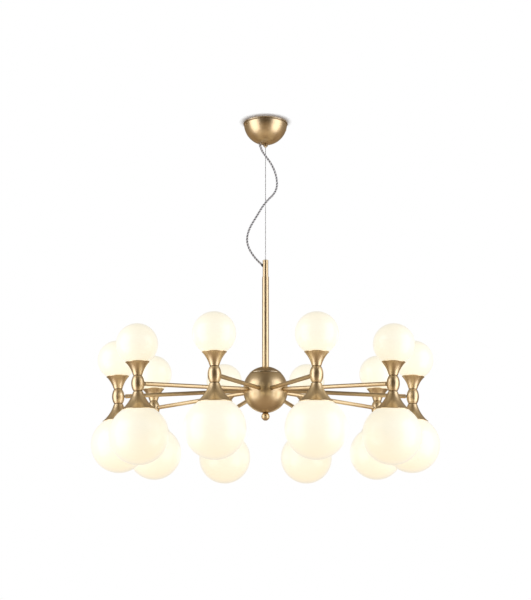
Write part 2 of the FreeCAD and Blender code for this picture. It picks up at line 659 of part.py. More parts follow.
def head_barrel():
    """The turned, hollow barrel with a groove neck at each end and a hole for the arm's nipple."""
    half = BARREL_HALF_HEIGHT
    end = half + GROOVE_HEIGHT
    bulge = BARREL_RADIUS - BARREL_END_RADIUS
    radius = (half ** 2 + bulge ** 2) / (2 * bulge)
    hollow = half - 3.0
    hollow_end = BARREL_END_RADIUS - BARREL_WALL + 1.0
    outer = arc_between(point(BARREL_END_RADIUS, -half), point(BARREL_END_RADIUS, half), radius, -1)
    outline = [outer]
    outline += lines([point(BARREL_END_RADIUS, half), point(GROOVE_RADIUS, half), point(GROOVE_RADIUS, end),
                      point(HOLDER_THREAD_RADIUS, end), point(HOLDER_THREAD_RADIUS, hollow),
                      point(hollow_end, hollow)])
    inner_bulge = BARREL_RADIUS - BARREL_WALL - hollow_end
    inner_radius = (hollow ** 2 + inner_bulge ** 2) / (2 * inner_bulge)
    outline.append(arc_between(point(hollow_end, hollow), point(hollow_end, -hollow), inner_radius, 1))
    outline += lines([point(hollow_end, -hollow), point(HOLDER_THREAD_RADIUS, -hollow),
                      point(HOLDER_THREAD_RADIUS, -end), point(GROOVE_RADIUS, -end),
                      point(GROOVE_RADIUS, -half), point(BARREL_END_RADIUS, -half)])
    barrel = at_head(turned(outline), 1)
    hole = rod(NIPPLE_RADIUS + 0.02, Vector(ARM_REACH - BARREL_RADIUS - 2, 0, 0), Vector(ARM_REACH - 8, 0, 0))
    return barrel.cut(hole)


def rim_height(form):
    """How far from the barrel's middle the rim bead sits so that it just clears the globe."""
    reach = form["globe"] + SLIP + RIM_BEAD_RADIUS
    return form["centre"] - sqrt(reach ** 2 - form["rim"] ** 2)


def trumpet(form):
    """A spun, flared cup with a flat floor and a bead around its rim."""
    height = rim_height(form)
    rim = point(form["rim"], height)
    throat = point(form["throat"], TRUMPET_BASE)
    chord = rim - throat
    rim_angle = pi / 2 - acos(chord.x / chord.Length)
    half_bend = (chord.Length / 2) / form["flare"]
    slope = pi / 2 - rim_angle + half_bend
    across = point(cos(slope), -sin(slope)) * (TRUMPET_WALL / 2)
    floor_top = TRUMPET_BASE + TRUMPET_FLOOR
    inner_throat = point(form["throat"] - TRUMPET_WALL + 0.5, floor_top)
    hole = HOLDER_THREAD_RADIUS + 0.1
    outline = [line(point(hole, TRUMPET_BASE), throat),
               arc_between(throat, rim + across, form["flare"], 1),
               line(rim + across, rim - across),
               arc_between(rim - across, inner_throat, form["flare"] + TRUMPET_WALL, -1)]
    outline += lines([inner_throat, point(hole, floor_top), point(hole, TRUMPET_BASE)])
    shell = turned(outline)
    return shell.fuse(bead(form["rim"], RIM_BEAD_RADIUS, height)).removeSplitter()


def globe(form):
    """A hollow glass globe with a short neck that screws on the lampholder."""
    outer = form["globe"]
    inner = outer - form["wall"]
    neck_inner = form["neck"] - NECK_WALL
    centre = form["centre"]
    start, top, outer_arc = circle_arc(centre, outer, form["neck"], -1, 0, 1)
    inner_top, inner_start, inner_arc = circle_arc(centre, inner, 0, 1, neck_inner, -1)
    outline = [outer_arc, line(top, inner_top), inner_arc]
    outline += lines([inner_start, point(neck_inner, form["neck_end"]),
                      point(form["neck"], form["neck_end"]), start])
    return turned(outline)


def lampholder(form):
    """The holder: a threaded tail in the barrel, a body in the trumpet and a skirt in the glass neck."""
    skirt = form["neck"] - NECK_WALL - 0.2
    skirt_low = form["neck_end"] - 4.0
    skirt_high = form["neck_end"] + 5.0
    holder = tube(HOLDER_THREAD_RADIUS - 0.05, 0, BARREL_HALF_HEIGHT - 2, TRUMPET_BASE + TRUMPET_FLOOR)
    holder = holder.fuse([tube(HOLDER_RADIUS, 0, TRUMPET_BASE + TRUMPET_FLOOR, skirt_low),
                          tube(skirt, 0, skirt_low, skirt_high)]).removeSplitter()
    holder = holder.cut(tube(HOLDER_WIRE_RADIUS, 0, 0, skirt_high))
    return holder.cut(tube(HOLDER_SOCKET_RADIUS, 0, skirt_low - 2, skirt_high + 1))


def lamp(form):
    """A small capsule lamp, with its base in the holder."""
    base_low = form["neck_end"] - 2.0
    glass_low = form["neck_end"] + 5.5
    dome = glass_low + LAMP_LENGTH - LAMP_RADIUS
    body = tube(LAMP_BASE_RADIUS, 0, base_low, glass_low)
    bulb = tube(LAMP_RADIUS, 0, glass_low, dome)
    return body.fuse([bulb, Part.makeSphere(LAMP_RADIUS, point(0, dome))]).removeSplitter()


# ---- All nodes ----------------------------------------------------------------------------------

def build():
    """Every node's shape by its name."""
    nodes = {
        "ceiling_plate": ceiling_plate(),
        "canopy_bowl": canopy_bowl(),
        "canopy_side_screws": canopy_side_screws(),
        "gripper_body": gripper_body(),
        "gripper_nut": gripper_nut(),
        "gripper_plunger": gripper_plunger(),
        "gripper_spring": gripper_spring(),
        "cord_bush": cord_bush(),
        "terminal_block": terminal_block(),
        "steel_rope": steel_rope(),
        "rope_stop": rope_stop(),
        "power_cord": power_cord(),
        "stem_head": stem_head(),
        "stem_grommet": stem_grommet(),
        "swivel_nut": swivel_nut(),
        "swivel_plug": swivel_plug(),
        "stem_tube": stem_tube(),
        "stem_foot": stem_foot(),
        "hub_carrier": hub_carrier(),
        "hub_upper_shell": hub_shell(1),
        "hub_lower_shell": hub_shell(-1),
        "hub_top_cap": hub_top_cap(),
        "hub_connectors": hub_connectors(),
        "finial": finial(),
        "arm_nipples": arm_nipples(),
        "head_barrels": on_all_arms(head_barrel()),
        "upper_trumpets": on_all_arms(at_head(trumpet(UPPER), 1)),
        "lower_trumpets": on_all_arms(at_head(trumpet(LOWER), -1)),
        "lampholders": on_all_arms(at_head(lampholder(UPPER), 1), at_head(lampholder(LOWER), -1)),
        "lamps": on_all_arms(at_head(lamp(UPPER), 1), at_head(lamp(LOWER), -1)),
    }
    arm = arm_tube()
    upper_globe = at_head(globe(UPPER), 1)
    lower_globe = at_head(globe(LOWER), -1)
    for i in range(ARM_COUNT):
        nodes[f"arm_{i + 1:02d}"] = at_arm(arm, i)
        nodes[f"upper_globe_{i + 1:02d}"] = at_arm(upper_globe, i)
        nodes[f"lower_globe_{i + 1:02d}"] = at_arm(lower_globe, i)
    return nodes


def main():
    os.makedirs("parts", exist_ok=True)
    for name, shape in build().items():
        if not shape.isValid():
            print("not valid:", name)
        shape.exportStep(f"parts/{name}.step")
        print(name, len(shape.Solids), "solids,", round(shape.Volume / 1000, 2), "cm3")


main()
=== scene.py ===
"""Builds the looks of a ten-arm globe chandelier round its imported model, one operator for each group."""

from functools import cached_property
from math import acos, asin, atan2, cos, pi, radians, sin, sqrt
from types import SimpleNamespace

import bmesh
import bpy
from bpy.props import FloatProperty, FloatVectorProperty, IntProperty, PointerProperty
from mathutils import Matrix, Vector


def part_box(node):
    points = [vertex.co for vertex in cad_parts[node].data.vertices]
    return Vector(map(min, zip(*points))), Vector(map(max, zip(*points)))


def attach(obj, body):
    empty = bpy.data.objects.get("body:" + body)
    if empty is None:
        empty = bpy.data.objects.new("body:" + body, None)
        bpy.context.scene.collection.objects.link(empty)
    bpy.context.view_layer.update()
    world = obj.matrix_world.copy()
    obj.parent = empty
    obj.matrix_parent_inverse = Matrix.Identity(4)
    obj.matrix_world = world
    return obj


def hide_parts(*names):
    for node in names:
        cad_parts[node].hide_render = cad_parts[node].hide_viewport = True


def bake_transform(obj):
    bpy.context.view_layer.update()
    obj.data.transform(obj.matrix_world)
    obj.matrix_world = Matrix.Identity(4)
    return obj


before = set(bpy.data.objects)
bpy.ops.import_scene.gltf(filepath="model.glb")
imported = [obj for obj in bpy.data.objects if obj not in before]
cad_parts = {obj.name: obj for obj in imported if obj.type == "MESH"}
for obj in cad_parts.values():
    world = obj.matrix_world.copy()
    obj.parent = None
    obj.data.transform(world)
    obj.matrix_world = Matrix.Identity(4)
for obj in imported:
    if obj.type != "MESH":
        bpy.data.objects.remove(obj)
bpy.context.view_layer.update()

bl_info = {
    "name": "Globe Chandelier",
    "version": (1, 0, 0),
    "blender": (4, 5, 0),
    "location": "3D View > Sidebar > Chandelier",
    "description": "Builds a ten-arm globe chandelier round its packed model",
    "category": "Add Mesh",
}

MM = 0.001

# ---- Measures read from the frame ----


def low(node):
    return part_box(node)[0]


def high(node):
    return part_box(node)[1]


def span(node):
    """A node's bottom and its top."""
    return low(node).z, high(node).z


def globe_ball(node, side):
    """The centre and the radius of a globe, from its node's box: its neck is on the side away from `side`."""
    corner_low, corner_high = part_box(node)
    radius = round((corner_high.y - corner_low.y) / 2, 4)
    far = corner_high.z if side > 0 else corner_low.z
    return Vector(((corner_low.x + corner_high.x) / 2, 0.0, far - side * radius)), radius


HUB_MIDDLE = Vector((0.0, 0.0, low("hub_upper_shell").z))
UPPER_BALL, UPPER_GLOBE_RADIUS = globe_ball("upper_globe_01", 1)
LOWER_BALL, LOWER_GLOBE_RADIUS = globe_ball("lower_globe_01", -1)
HEAD_AXIS = (UPPER_BALL - LOWER_BALL).normalized()
ARM_AXIS = Vector((HEAD_AXIS.z, 0.0, -HEAD_AXIS.x))
ARM_DROOP = atan2(HEAD_AXIS.x, HEAD_AXIS.z)
ARM_REACH = (UPPER_BALL - HUB_MIDDLE).dot(ARM_AXIS)

# ---- Shapes that the frame's boxes don't give ----

CANOPY_RADIUS = 58.5 * MM
CANOPY_WALL = 1.2 * MM
CANOPY_LIP_HEIGHT = 3.0 * MM
SIDE_SCREW_AZIMUTHS = (radians(204), radians(24))
SIDE_SCREW_DROP = 9.0 * MM
SCREW_HOLE = 2.2 * MM
SCREW_HOLE_REACH = (50.0 * MM, 62.0 * MM)
CORD_HOLE = 4.6 * MM
CORD_HOLE_DEPTH = 12.0 * MM
GRIPPER_SHANK = 5.0 * MM
GRIPPER_CAVITY = 3.9 * MM
PLUNGER_RADIUS = 2.5 * MM
ROPE_RADIUS = 1.0 * MM
ROPE_HOLE = 1.35 * MM

CORD_RADIUS = 3.0 * MM
CORD_ROUTE = [
    (-0.015, 0.0, -0.06), (-0.0119, 0.0, -0.0716), (-0.0065, -0.004, -0.0845),
    (0.003, -0.009, -0.099), (0.0145, -0.01, -0.116), (0.0245, -0.007, -0.136),
    (0.0305, -0.0035, -0.159), (0.031, -0.002, -0.181), (0.0225, -0.0045, -0.201),
    (0.0075, -0.0095, -0.217), (-0.0075, -0.011, -0.236), (-0.0225, -0.0085, -0.262),
    (-0.0385, -0.004, -0.287), (-0.048, -0.001, -0.31), (-0.0495, 0.0005, -0.332),
    (-0.042, 0.001, -0.354), (-0.03, 0.0005, -0.372), (-0.0185, 0.0, -0.3855),
    (-0.009, 0.0, -0.394),
]
CORE_RADIUS = 1.35 * MM
CORE_OFFSET = 1.35 * MM
CORE_PITCH = 8.0 * MM
RELIEF_OUTSIDE = 20.0 * MM
RELIEF_INSIDE = 10.0 * MM
RELIEF_STEP = 0.5 * MM
RELIEF_ROOT = 4.4 * MM
RELIEF_TIP = CORD_RADIUS + 0.25 * MM
RELIEF_TAPER = 0.9 * MM
RELIEF_RIPPLE = 0.12 * MM

ROPE_STRANDS = 6
ROPE_PITCH = 9.0 * MM

STEM_HEAD_BORE = 5.9 * MM
SPIGOT_RADIUS = 5.5 * MM
SPIGOT_BORE = 3.4 * MM
STEM_TUBE_WALL = 1.0 * MM
STEM_HOLE = 3.9 * MM
STEM_HOLE_REACH = (-1.0 * MM, 8.0 * MM)

HUB_RADIUS = high("hub_lower_shell").y
HUB_WALL = 1.2 * MM
HUB_BAND = 2.3 * MM
CAP_SEAM = 41.0 * MM
HUB_MOUTH = 3.2 * MM
ARM_HOLE = 5.9 * MM
ARM_HOLE_REACH = (45.0 * MM, 66.0 * MM)
FINIAL_ROD = 2.5 * MM
FINIAL_COLLAR = 3.35 * MM
FINIAL_COLLAR_RADIUS = 6.6 * MM

ARM_RADIUS = 5.25 * MM
ARM_BORE = 4.1 * MM
ARM_START = 28.6 * MM
ARM_END_GAP = 2.6 * MM
NIPPLE_RADIUS = 3.5 * MM
NIPPLE_BORE = 2.2 * MM
NIPPLE_GRIP = 15.0 * MM
NIPPLE_INNER_END = 16.0 * MM
THREAD_PITCH = 0.75 * MM
THREAD_DEPTH = 0.3 * MM

BARREL_RADIUS = 16.0 * MM
BARREL_END_RADIUS = 10.8 * MM
BARREL_HALF = 18.5 * MM
BARREL_WALL = 2.0 * MM
BARREL_HOLE_END = 8.0 * MM
GROOVE_HEIGHT = 1.6 * MM
GROOVE_RADIUS = 9.9 * MM
HOLDER_THREAD = 5.0 * MM
TRUMPET_BASE = BARREL_HALF + GROOVE_HEIGHT
TRUMPET_WALL = 1.2 * MM
TRUMPET_FLOOR = 2.0 * MM
RIM_BEAD = 1.0 * MM
RIM_CLEARANCE = 0.3 * MM

UPPER = SimpleNamespace(
    side=1, globe=UPPER_GLOBE_RADIUS, centre=(UPPER_BALL - HUB_MIDDLE).dot(HEAD_AXIS), wall=2.2 * MM,
    neck=13.0 * MM, neck_end=43.5 * MM, throat=11.2 * MM, rim=28.0 * MM, flare=72.0 * MM,
)
LOWER = SimpleNamespace(
    side=-1, globe=LOWER_GLOBE_RADIUS, centre=(HUB_MIDDLE - LOWER_BALL).dot(HEAD_AXIS), wall=2.5 * MM,
    neck=16.0 * MM, neck_end=46.5 * MM, throat=12.0 * MM, rim=40.0 * MM, flare=86.0 * MM,
)

SEGMENTS = 128
FILLET = 0.2 * MM
WIDE_FILLET = 0.35 * MM
FILLET_STEPS = 3
SHARP_TURN = radians(24)
KEEP_SHARP = radians(38)
TINY = 1e-7
EDGE_CURVATURE = 2500.0

# ---- Colours and lights that no setting changes ----

# Paler brass for polished edges, also used as a painted highlight on the canopy's lip and the hub cap's rim.
POLISH_AND_HIGHLIGHT = (0.93, 0.80, 0.58)
# Dark brown for hollows, also used as painted shade under the canopy's lip, on the gripper collar, under the
# cap seam, on the finial's collar and in the barrels' grooves.
HOLLOW_DARK_AND_SHADE = (0.20, 0.13, 0.06)
POLISHED_STEEL = (0.80, 0.80, 0.79)
# Dark steel for hollows such as the nipples' thread roots.
HOLLOW_DARK = (0.10, 0.09, 0.08)
NYLON = (0.78, 0.76, 0.70)
RUBBER = (0.035, 0.034, 0.033)
THERMOPLASTIC = (0.86, 0.86, 0.84)
FROST = (0.86, 0.84, 0.80), (0.93, 0.92, 0.90)
LAMP_LIGHT = (1.0, 0.82, 0.55), (1.0, 0.88, 0.66)
# Warmer glow, used as painted brass reflection and painted shade on the globes.
WARM_SHADE_AND_REFLECTION = (1.0, 0.84, 0.56)
# Duller glow, used as painted shade at the globes' outlines.
RIM_SHADE_GLOW = (0.86, 0.84, 0.74)
FLOOR = (0.62, 0.49, 0.35)
# Grey of the painted shadow on the ceiling round the canopy.
CEILING_SHADOW = (0.50, 0.49, 0.48)
ROOM_SIDES = (0.26, 0.215, 0.17)
ROOM_FRONT = (0.045, 0.028, 0.012)
ROOM_BELOW = (0.62, 0.46, 0.30)
ROOM_ABOVE = (0.17, 0.14, 0.11)
ROOM_HIGH_SIDES = (0.44, 0.40, 0.34)
SOFTBOX_LIGHT = (0.95, 1.0, 1.16)
SOFTBOX_WIDTH, SOFTBOX_TALL = 2.3, 3.8
SOFTBOX_DISTANCE = 2.5
SOFTBOX_AZIMUTH = radians(64)
SOFTBOX_HEIGHT = -0.65
SOFTBOX_AIM = Vector((0.0, 0.0, -0.60))


# ---- Properties ----


def number(name, description, default, **more):
    return FloatProperty(name=name, description=description, default=default, **more)


def colour(name, description, default):
    return FloatVectorProperty(
        name=name, description=description, subtype="COLOR", size=3, min=0.0, max=1.0, default=default
    )


class ChandelierSizes(bpy.types.PropertyGroup):
    arm_count: IntProperty(name="Arms", description="How many arms leave the hub", default=10, min=1)
    arm_reach: number("Arm reach", "From the hub's centre to a head's middle", ARM_REACH, unit="LENGTH")
    arm_droop: number("Arm droop", "How far the arms slope down", ARM_DROOP, subtype="ANGLE")
    arm_radius: number("Arm radius", "Outer radius of an arm's tube", ARM_RADIUS, unit="LENGTH")


class ChandelierColours(bpy.types.PropertyGroup):
    brass: colour("Brass", "The satin brass where it is clean", (0.80, 0.62, 0.37))
    brass_deep: colour("Deep brass", "The satin brass in its darker clouds", (0.70, 0.52, 0.275))
    steel: colour("Steel", "Plated steel and the rope", (0.62, 0.62, 0.60))
    opal: colour("Opal glass", "The body of the globes", (0.52, 0.50, 0.43))
    glow: colour("Glow", "The light that comes through the globes", (0.95, 0.92, 0.76))
    jacket: colour("Cord jacket", "The clear sheath of the power cord", (0.88, 0.88, 0.87))
    # The bright core is tinned wire made near white as a painted highlight. The dark core is the same wire as
    # painted shadow.
    core: colour("Bright core", "The cord's tinned core", (0.95, 0.95, 0.94))
    shaded_core: colour("Dark core", "The cord's dark core", (0.15, 0.15, 0.15))


class ChandelierStage(bpy.types.PropertyGroup):
    floor_drop: number("Floor drop", "From the ceiling down to the floor", 2.6, unit="LENGTH")
    softbox: number("Softboxes", "Brightness of the two side softboxes", 1.95, min=0.0)
    surroundings: number("Surroundings", "Brightness of what the metal reflects", 1.0, min=0.0)
    lens: number("Lens", "Focal length", 75.95, unit="CAMERA")
    camera_back: number("Camera distance", "From the axis to the camera", 3.243, unit="LENGTH")
    camera_drop: number("Camera drop", "From the ceiling down to the camera", 1.2097, unit="LENGTH")
    camera_pitch: number("Camera pitch", "How far the camera looks up", 0.2186, subtype="ANGLE")


# ---- Outlines ----


# An outline is a list of corners, each its distance from the axis and its height.


def arc(centre, radius, start, end, steps):
    """Points on a circle from one angle to another, in radians from the direction away from the axis."""
    angles = [start + (end - start) * k / steps for k in range(steps + 1)]
    return [Vector(centre) + radius * Vector((cos(a), sin(a))) for a in angles]


def ball_arc(middle, radius, start, end, steps):
    """An arc of a ball centred on the axis. Each end is how far out it is, and above (1) or below (-1)."""
    angles = [side * acos(min(1.0, out / radius)) for out, side in (start, end)]
    return arc((0.0, middle), radius, angles[0], angles[1], steps)


def bowed(start, end, radius, side, steps):
    """Points from start to end on an arc that bulges to the left of the way (side 1) or the right (-1)."""
    start, end = Vector(start), Vector(end)
    chord = end - start
    leftward = Vector((-chord.y, chord.x)).normalized()
    depth = sqrt(radius**2 - chord.length_squared / 4)
    centre = (start + end) / 2 - side * depth * leftward
    turn = -side * 2 * asin(chord.length / 2 / radius)
    return [centre + Matrix.Rotation(turn * k / steps, 2) @ (start - centre) for k in range(steps + 1)]


def bow_radius(half_length, rise):
    """The radius of an arc that rises by `rise` over a chord of twice half_length."""
    return (half_length**2 + rise**2) / (2 * rise)


def without_repeats(outline):
    kept = [Vector(outline[0])]
    for corner in map(Vector, outline[1:]):
        if (corner - kept[-1]).length > TINY:
            kept.append(corner)
    return kept


def softened(outline, fillet, closed):
    """The outline with each sharp corner rounded."""
    soft = []
    count = len(outline)
    for i, corner in enumerate(outline):
        if not closed and i in (0, count - 1):
            soft.append(corner)
            continue
        back = outline[i - 1] - corner
        ahead = outline[(i + 1) % count] - corner
        if pi - back.angle(ahead) < SHARP_TURN or corner.x < TINY:
            soft.append(corner)
            continue
        reach = min(fillet, back.length / 3, ahead.length / 3)
        start = corner + back.normalized() * reach
        end = corner + ahead.normalized() * reach
        for step in range(FILLET_STEPS + 1):
            t = step / FILLET_STEPS
            soft.append(start * (1 - t) ** 2 + corner * (2 * t * (1 - t)) + end * t**2)
    return soft


def area_of(outline):
    """Twice the outline's area, positive if it runs anticlockwise."""
    return sum(a.cross(b) for a, b in zip(outline, outline[1:] + outline[:1]))


def edge_values(outline, closed):
    """How strongly each corner stands out (up to 1) or is sunk (down to -1)."""
    values = []
    count = len(outline)
    for i, corner in enumerate(outline):
        if not closed and i in (0, count - 1):
            values.append(0.0)
            continue
        into = corner - outline[i - 1]
        out = outline[(i + 1) % count] - corner
        turn = atan2(into.cross(out), into.dot(out))
        curvature = turn / ((into.length + out.length) / 2)
        values.append(max(-1.0, min(1.0, curvature / EDGE_CURVATURE)))
    return values


# ---- Meshes ----


def smoothed(mesh):
    """The mesh smooth-shaded, sharp only where its faces meet at a real corner."""
    mesh.shade_smooth()
    mesh.set_sharp_from_angle(angle=KEEP_SHARP)
    return mesh


def mesh_from(name, bm):
    mesh = bpy.data.meshes.new(name)
    bm.to_mesh(mesh)
    bm.free()
    return smoothed(mesh)


def bridge(bm, ring_a, ring_b):
    """Adds the faces between two rings of vertices. A ring on the axis is one vertex."""
    for k in range(max(len(ring_a), len(ring_b))):
        corners = [
            ring_a[k % len(ring_a)],
            ring_a[(k + 1) % len(ring_a)],
            ring_b[(k + 1) % len(ring_b)],
            ring_b[k % len(ring_b)],
        ]
        face = list(dict.fromkeys(corners))
        if len(face) > 2:
            bm.faces.new(face)


def turned_mesh(name, outline, closed=True, segments=SEGMENTS, fillet=FILLET):
    """A mesh turned about Z. An outline that isn't closed starts and ends on the axis."""
    outline = softened(without_repeats(outline), fillet, closed)
    if area_of(outline) < 0:
        outline.reverse()
    bm = bmesh.new()
    edge_layer = bm.verts.layers.float.new("edge")
    turns = [2 * pi * k / segments for k in range(segments)]
    rings = []
    for corner, value in zip(outline, edge_values(outline, closed)):
        if corner.x < TINY:
            ring = [bm.verts.new((0.0, 0.0, corner.y))]
        else:
            ring = [bm.verts.new((corner.x * cos(t), corner.x * sin(t), corner.y)) for t in turns]
        for vert in ring:
            vert[edge_layer] = value
        rings.append(ring)
    following = rings[1:] + rings[:1] if closed else rings[1:]
    for ring_a, ring_b in zip(rings, following):
        bridge(bm, ring_a, ring_b)
    return mesh_from(name, bm)


def painted_light_band(mesh, bottom, top, value):
    """Paints light on a turned mesh's outer skin between two heights: painted shade (-1), dark like a hollow,
    or a painted highlight (1), pale like a polished edge.
    """
    edge = mesh.attributes["edge"].data
    for vert in mesh.vertices:
        if bottom <= vert.co.z <= top and vert.normal.xy.dot(vert.co.xy) > 0:
            edge[vert.index].value = value


def rod_in(bm, radius, start, end):
    """Adds a closed round rod between two points."""
    way = end - start
    place = Matrix.Translation((start + end) / 2) @ way.to_track_quat("Z", "Y").to_matrix().to_4x4()
    bmesh.ops.create_cone(
        bm, cap_ends=True, segments=48, radius1=radius, radius2=radius, depth=way.length, matrix=place
    )


def placed(name, data):
    """A new object in the scene."""
    made = bpy.data.objects.new(name, data)
    bpy.context.scene.collection.objects.link(made)
    return made


def drilled(mesh, holes):
    """The mesh with round holes cut in it, each given as (radius, start, end)."""
    bm = bmesh.new()
    for radius, start, end in holes:
        rod_in(bm, radius, start, end)
    drill = placed("drill", mesh_from("drill", bm))
    blank = placed("blank", mesh)
    cut = blank.modifiers.new("cut", "BOOLEAN")
    cut.object = drill
    cut.operation = "DIFFERENCE"
    cut.solver = "EXACT"
    depsgraph = bpy.context.evaluated_depsgraph_get()
    made = bpy.data.meshes.new_from_object(blank.evaluated_get(depsgraph))
    for item in (drill, blank):
        bpy.data.objects.remove(item)
    if len(made.vertices) == len(mesh.vertices):
        raise RuntimeError(f"the holes in {mesh.name} were not cut")
    made.name = mesh.name
    made.materials.clear()
    return smoothed(made)


def spline_line(route):
    """Points along the smooth NURBS line that has the route's points as its control points."""
    curve = bpy.data.curves.new("route", "CURVE")
    curve.dimensions = "3D"
    curve.resolution_u = 24
    spline = curve.splines.new("NURBS")
    spline.points.add(len(route) - 1)
    for point, place in zip(spline.points, route):
        point.co = (*place, 1.0)
    spline.order_u = 3
    spline.use_endpoint_u = True
    carrier = bpy.data.objects.new("route", curve)
    mesh = bpy.data.meshes.new_from_object(carrier)
    line = [v.co.copy() for v in mesh.vertices]
    bpy.data.meshes.remove(mesh)
    bpy.data.objects.remove(carrier)
    bpy.data.curves.remove(curve)
    return line


def evenly(line, step):
    """The line again, with points about `step` apart."""
    along = [0.0]
    for a, b in zip(line, line[1:]):
        along.append(along[-1] + (b - a).length)
    count = max(2, round(along[-1] / step))
    points = []
    k = 0
    for i in range(count + 1):
        target = along[-1] * i / count
        while k < len(line) - 2 and along[k + 1] < target:
            k += 1
        share = (target - along[k]) / (along[k + 1] - along[k])
        points.append(line[k].lerp(line[k + 1], min(1.0, share)))
    return points


def carried_frames(line):
    """Two unit vectors across the line at each point, carried along it without twist."""
    tangents = []
    for i in range(len(line)):
        tangents.append((line[min(i + 1, len(line) - 1)] - line[max(i - 1, 0)]).normalized())
    side = tangents[0].orthogonal().normalized()
    frames = []
    for tangent in tangents:
        side = (side - tangent * side.dot(tangent)).normalized()
        frames.append((side, tangent.cross(side)))
    return frames


def twisted(line, offset, pitch, phase, step):
    """A line wound round another at a distance, one turn in each pitch."""
    wound = []
    for i, (point, (side, other)) in enumerate(zip(line, carried_frames(line))):
        angle = phase + 2 * pi * i * step / pitch
        wound.append(point + offset * (cos(angle) * side + sin(angle) * other))
    return wound


def tube_in(bm, line, radii, sides):
    """Adds a closed tube along a line, with its radius at each point."""
    rings = []
    for point, radius, (side, other) in zip(line, radii, carried_frames(line)):
        ring = []
        for k in range(sides):
            angle = 2 * pi * k / sides
            ring.append(bm.verts.new(point + radius * (cos(angle) * side + sin(angle) * other)))
        rings.append(ring)
    for ring_a, ring_b in zip(rings, rings[1:]):
        bridge(bm, ring_a, ring_b)
    bm.faces.new(reversed(rings[0]))
    bm.faces.new(rings[-1])


def add_piece(name, mesh, body, material, place=None, stands_for=()):
    """A new piece that rides on a body and stands for CAD nodes."""
    piece = placed(name, mesh)
    if place is not None:
        piece.matrix_world = place
    if not mesh.materials:
        mesh.materials.append(material)
    if body is not None:
        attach(piece, body)
    if stands_for:
        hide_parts(*stands_for)
    return piece


def add_brass(name, mesh, body, node, place=None):
    """A new piece of satin brass that stands for one CAD node."""
    return add_piece(name, mesh, body, satin_brass(), place, [node])


def dress(material, *nodes):
    """Gives CAD nodes whose shape is right a finish."""
    for node in nodes:
        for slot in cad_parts[node].material_slots:
            slot.material = material


def each_arm():
    """Each arm's number, from 0, and its label, from 01."""
    for index in range(bpy.context.scene.chandelier_sizes.arm_count):
        yield index, f"{index + 1:02d}"


def arm_place(index):
    """From an arm's own frame, X along the arm and Z along its head, to its place round the hub."""
    sizes = bpy.context.scene.chandelier_sizes
    turn = Matrix.Rotation(2 * pi * index / sizes.arm_count, 4, "Z")
    droop = Matrix.Rotation(sizes.arm_droop, 4, "Y")
    return Matrix.Translation(HUB_MIDDLE) @ turn @ droop


def head_place(index, side):
    """From a head's frame, with its middle at the origin and Z away from the barrel, to its place."""
    over = Matrix.Identity(4) if side > 0 else Matrix.Rotation(pi, 4, "X")
    reach = bpy.context.scene.chandelier_sizes.arm_reach
    return arm_place(index) @ Matrix.Translation((reach, 0.0, 0.0)) @ over


# ---- Finishes ----


class Value:
    """A number that changes over a surface. Python's operators on it add Math nodes."""

    def __init__(self, finish, socket):
        self.finish = finish
        self.socket = socket

    def __add__(self, other):
        return self.finish.maths("ADD", self, other)

    def __sub__(self, other):
        return self.finish.maths("SUBTRACT", self, other)

    def __rsub__(self, other):
        return self.finish.maths("SUBTRACT", other, self)

    def __mul__(self, other):
        return self.finish.maths("MULTIPLY", self, other)

    def __truediv__(self, other):
        return self.finish.maths("DIVIDE", self, other)

    def __pow__(self, other):
        return self.finish.maths("POWER", self, other)

    __radd__ = __add__
    __rmul__ = __mul__


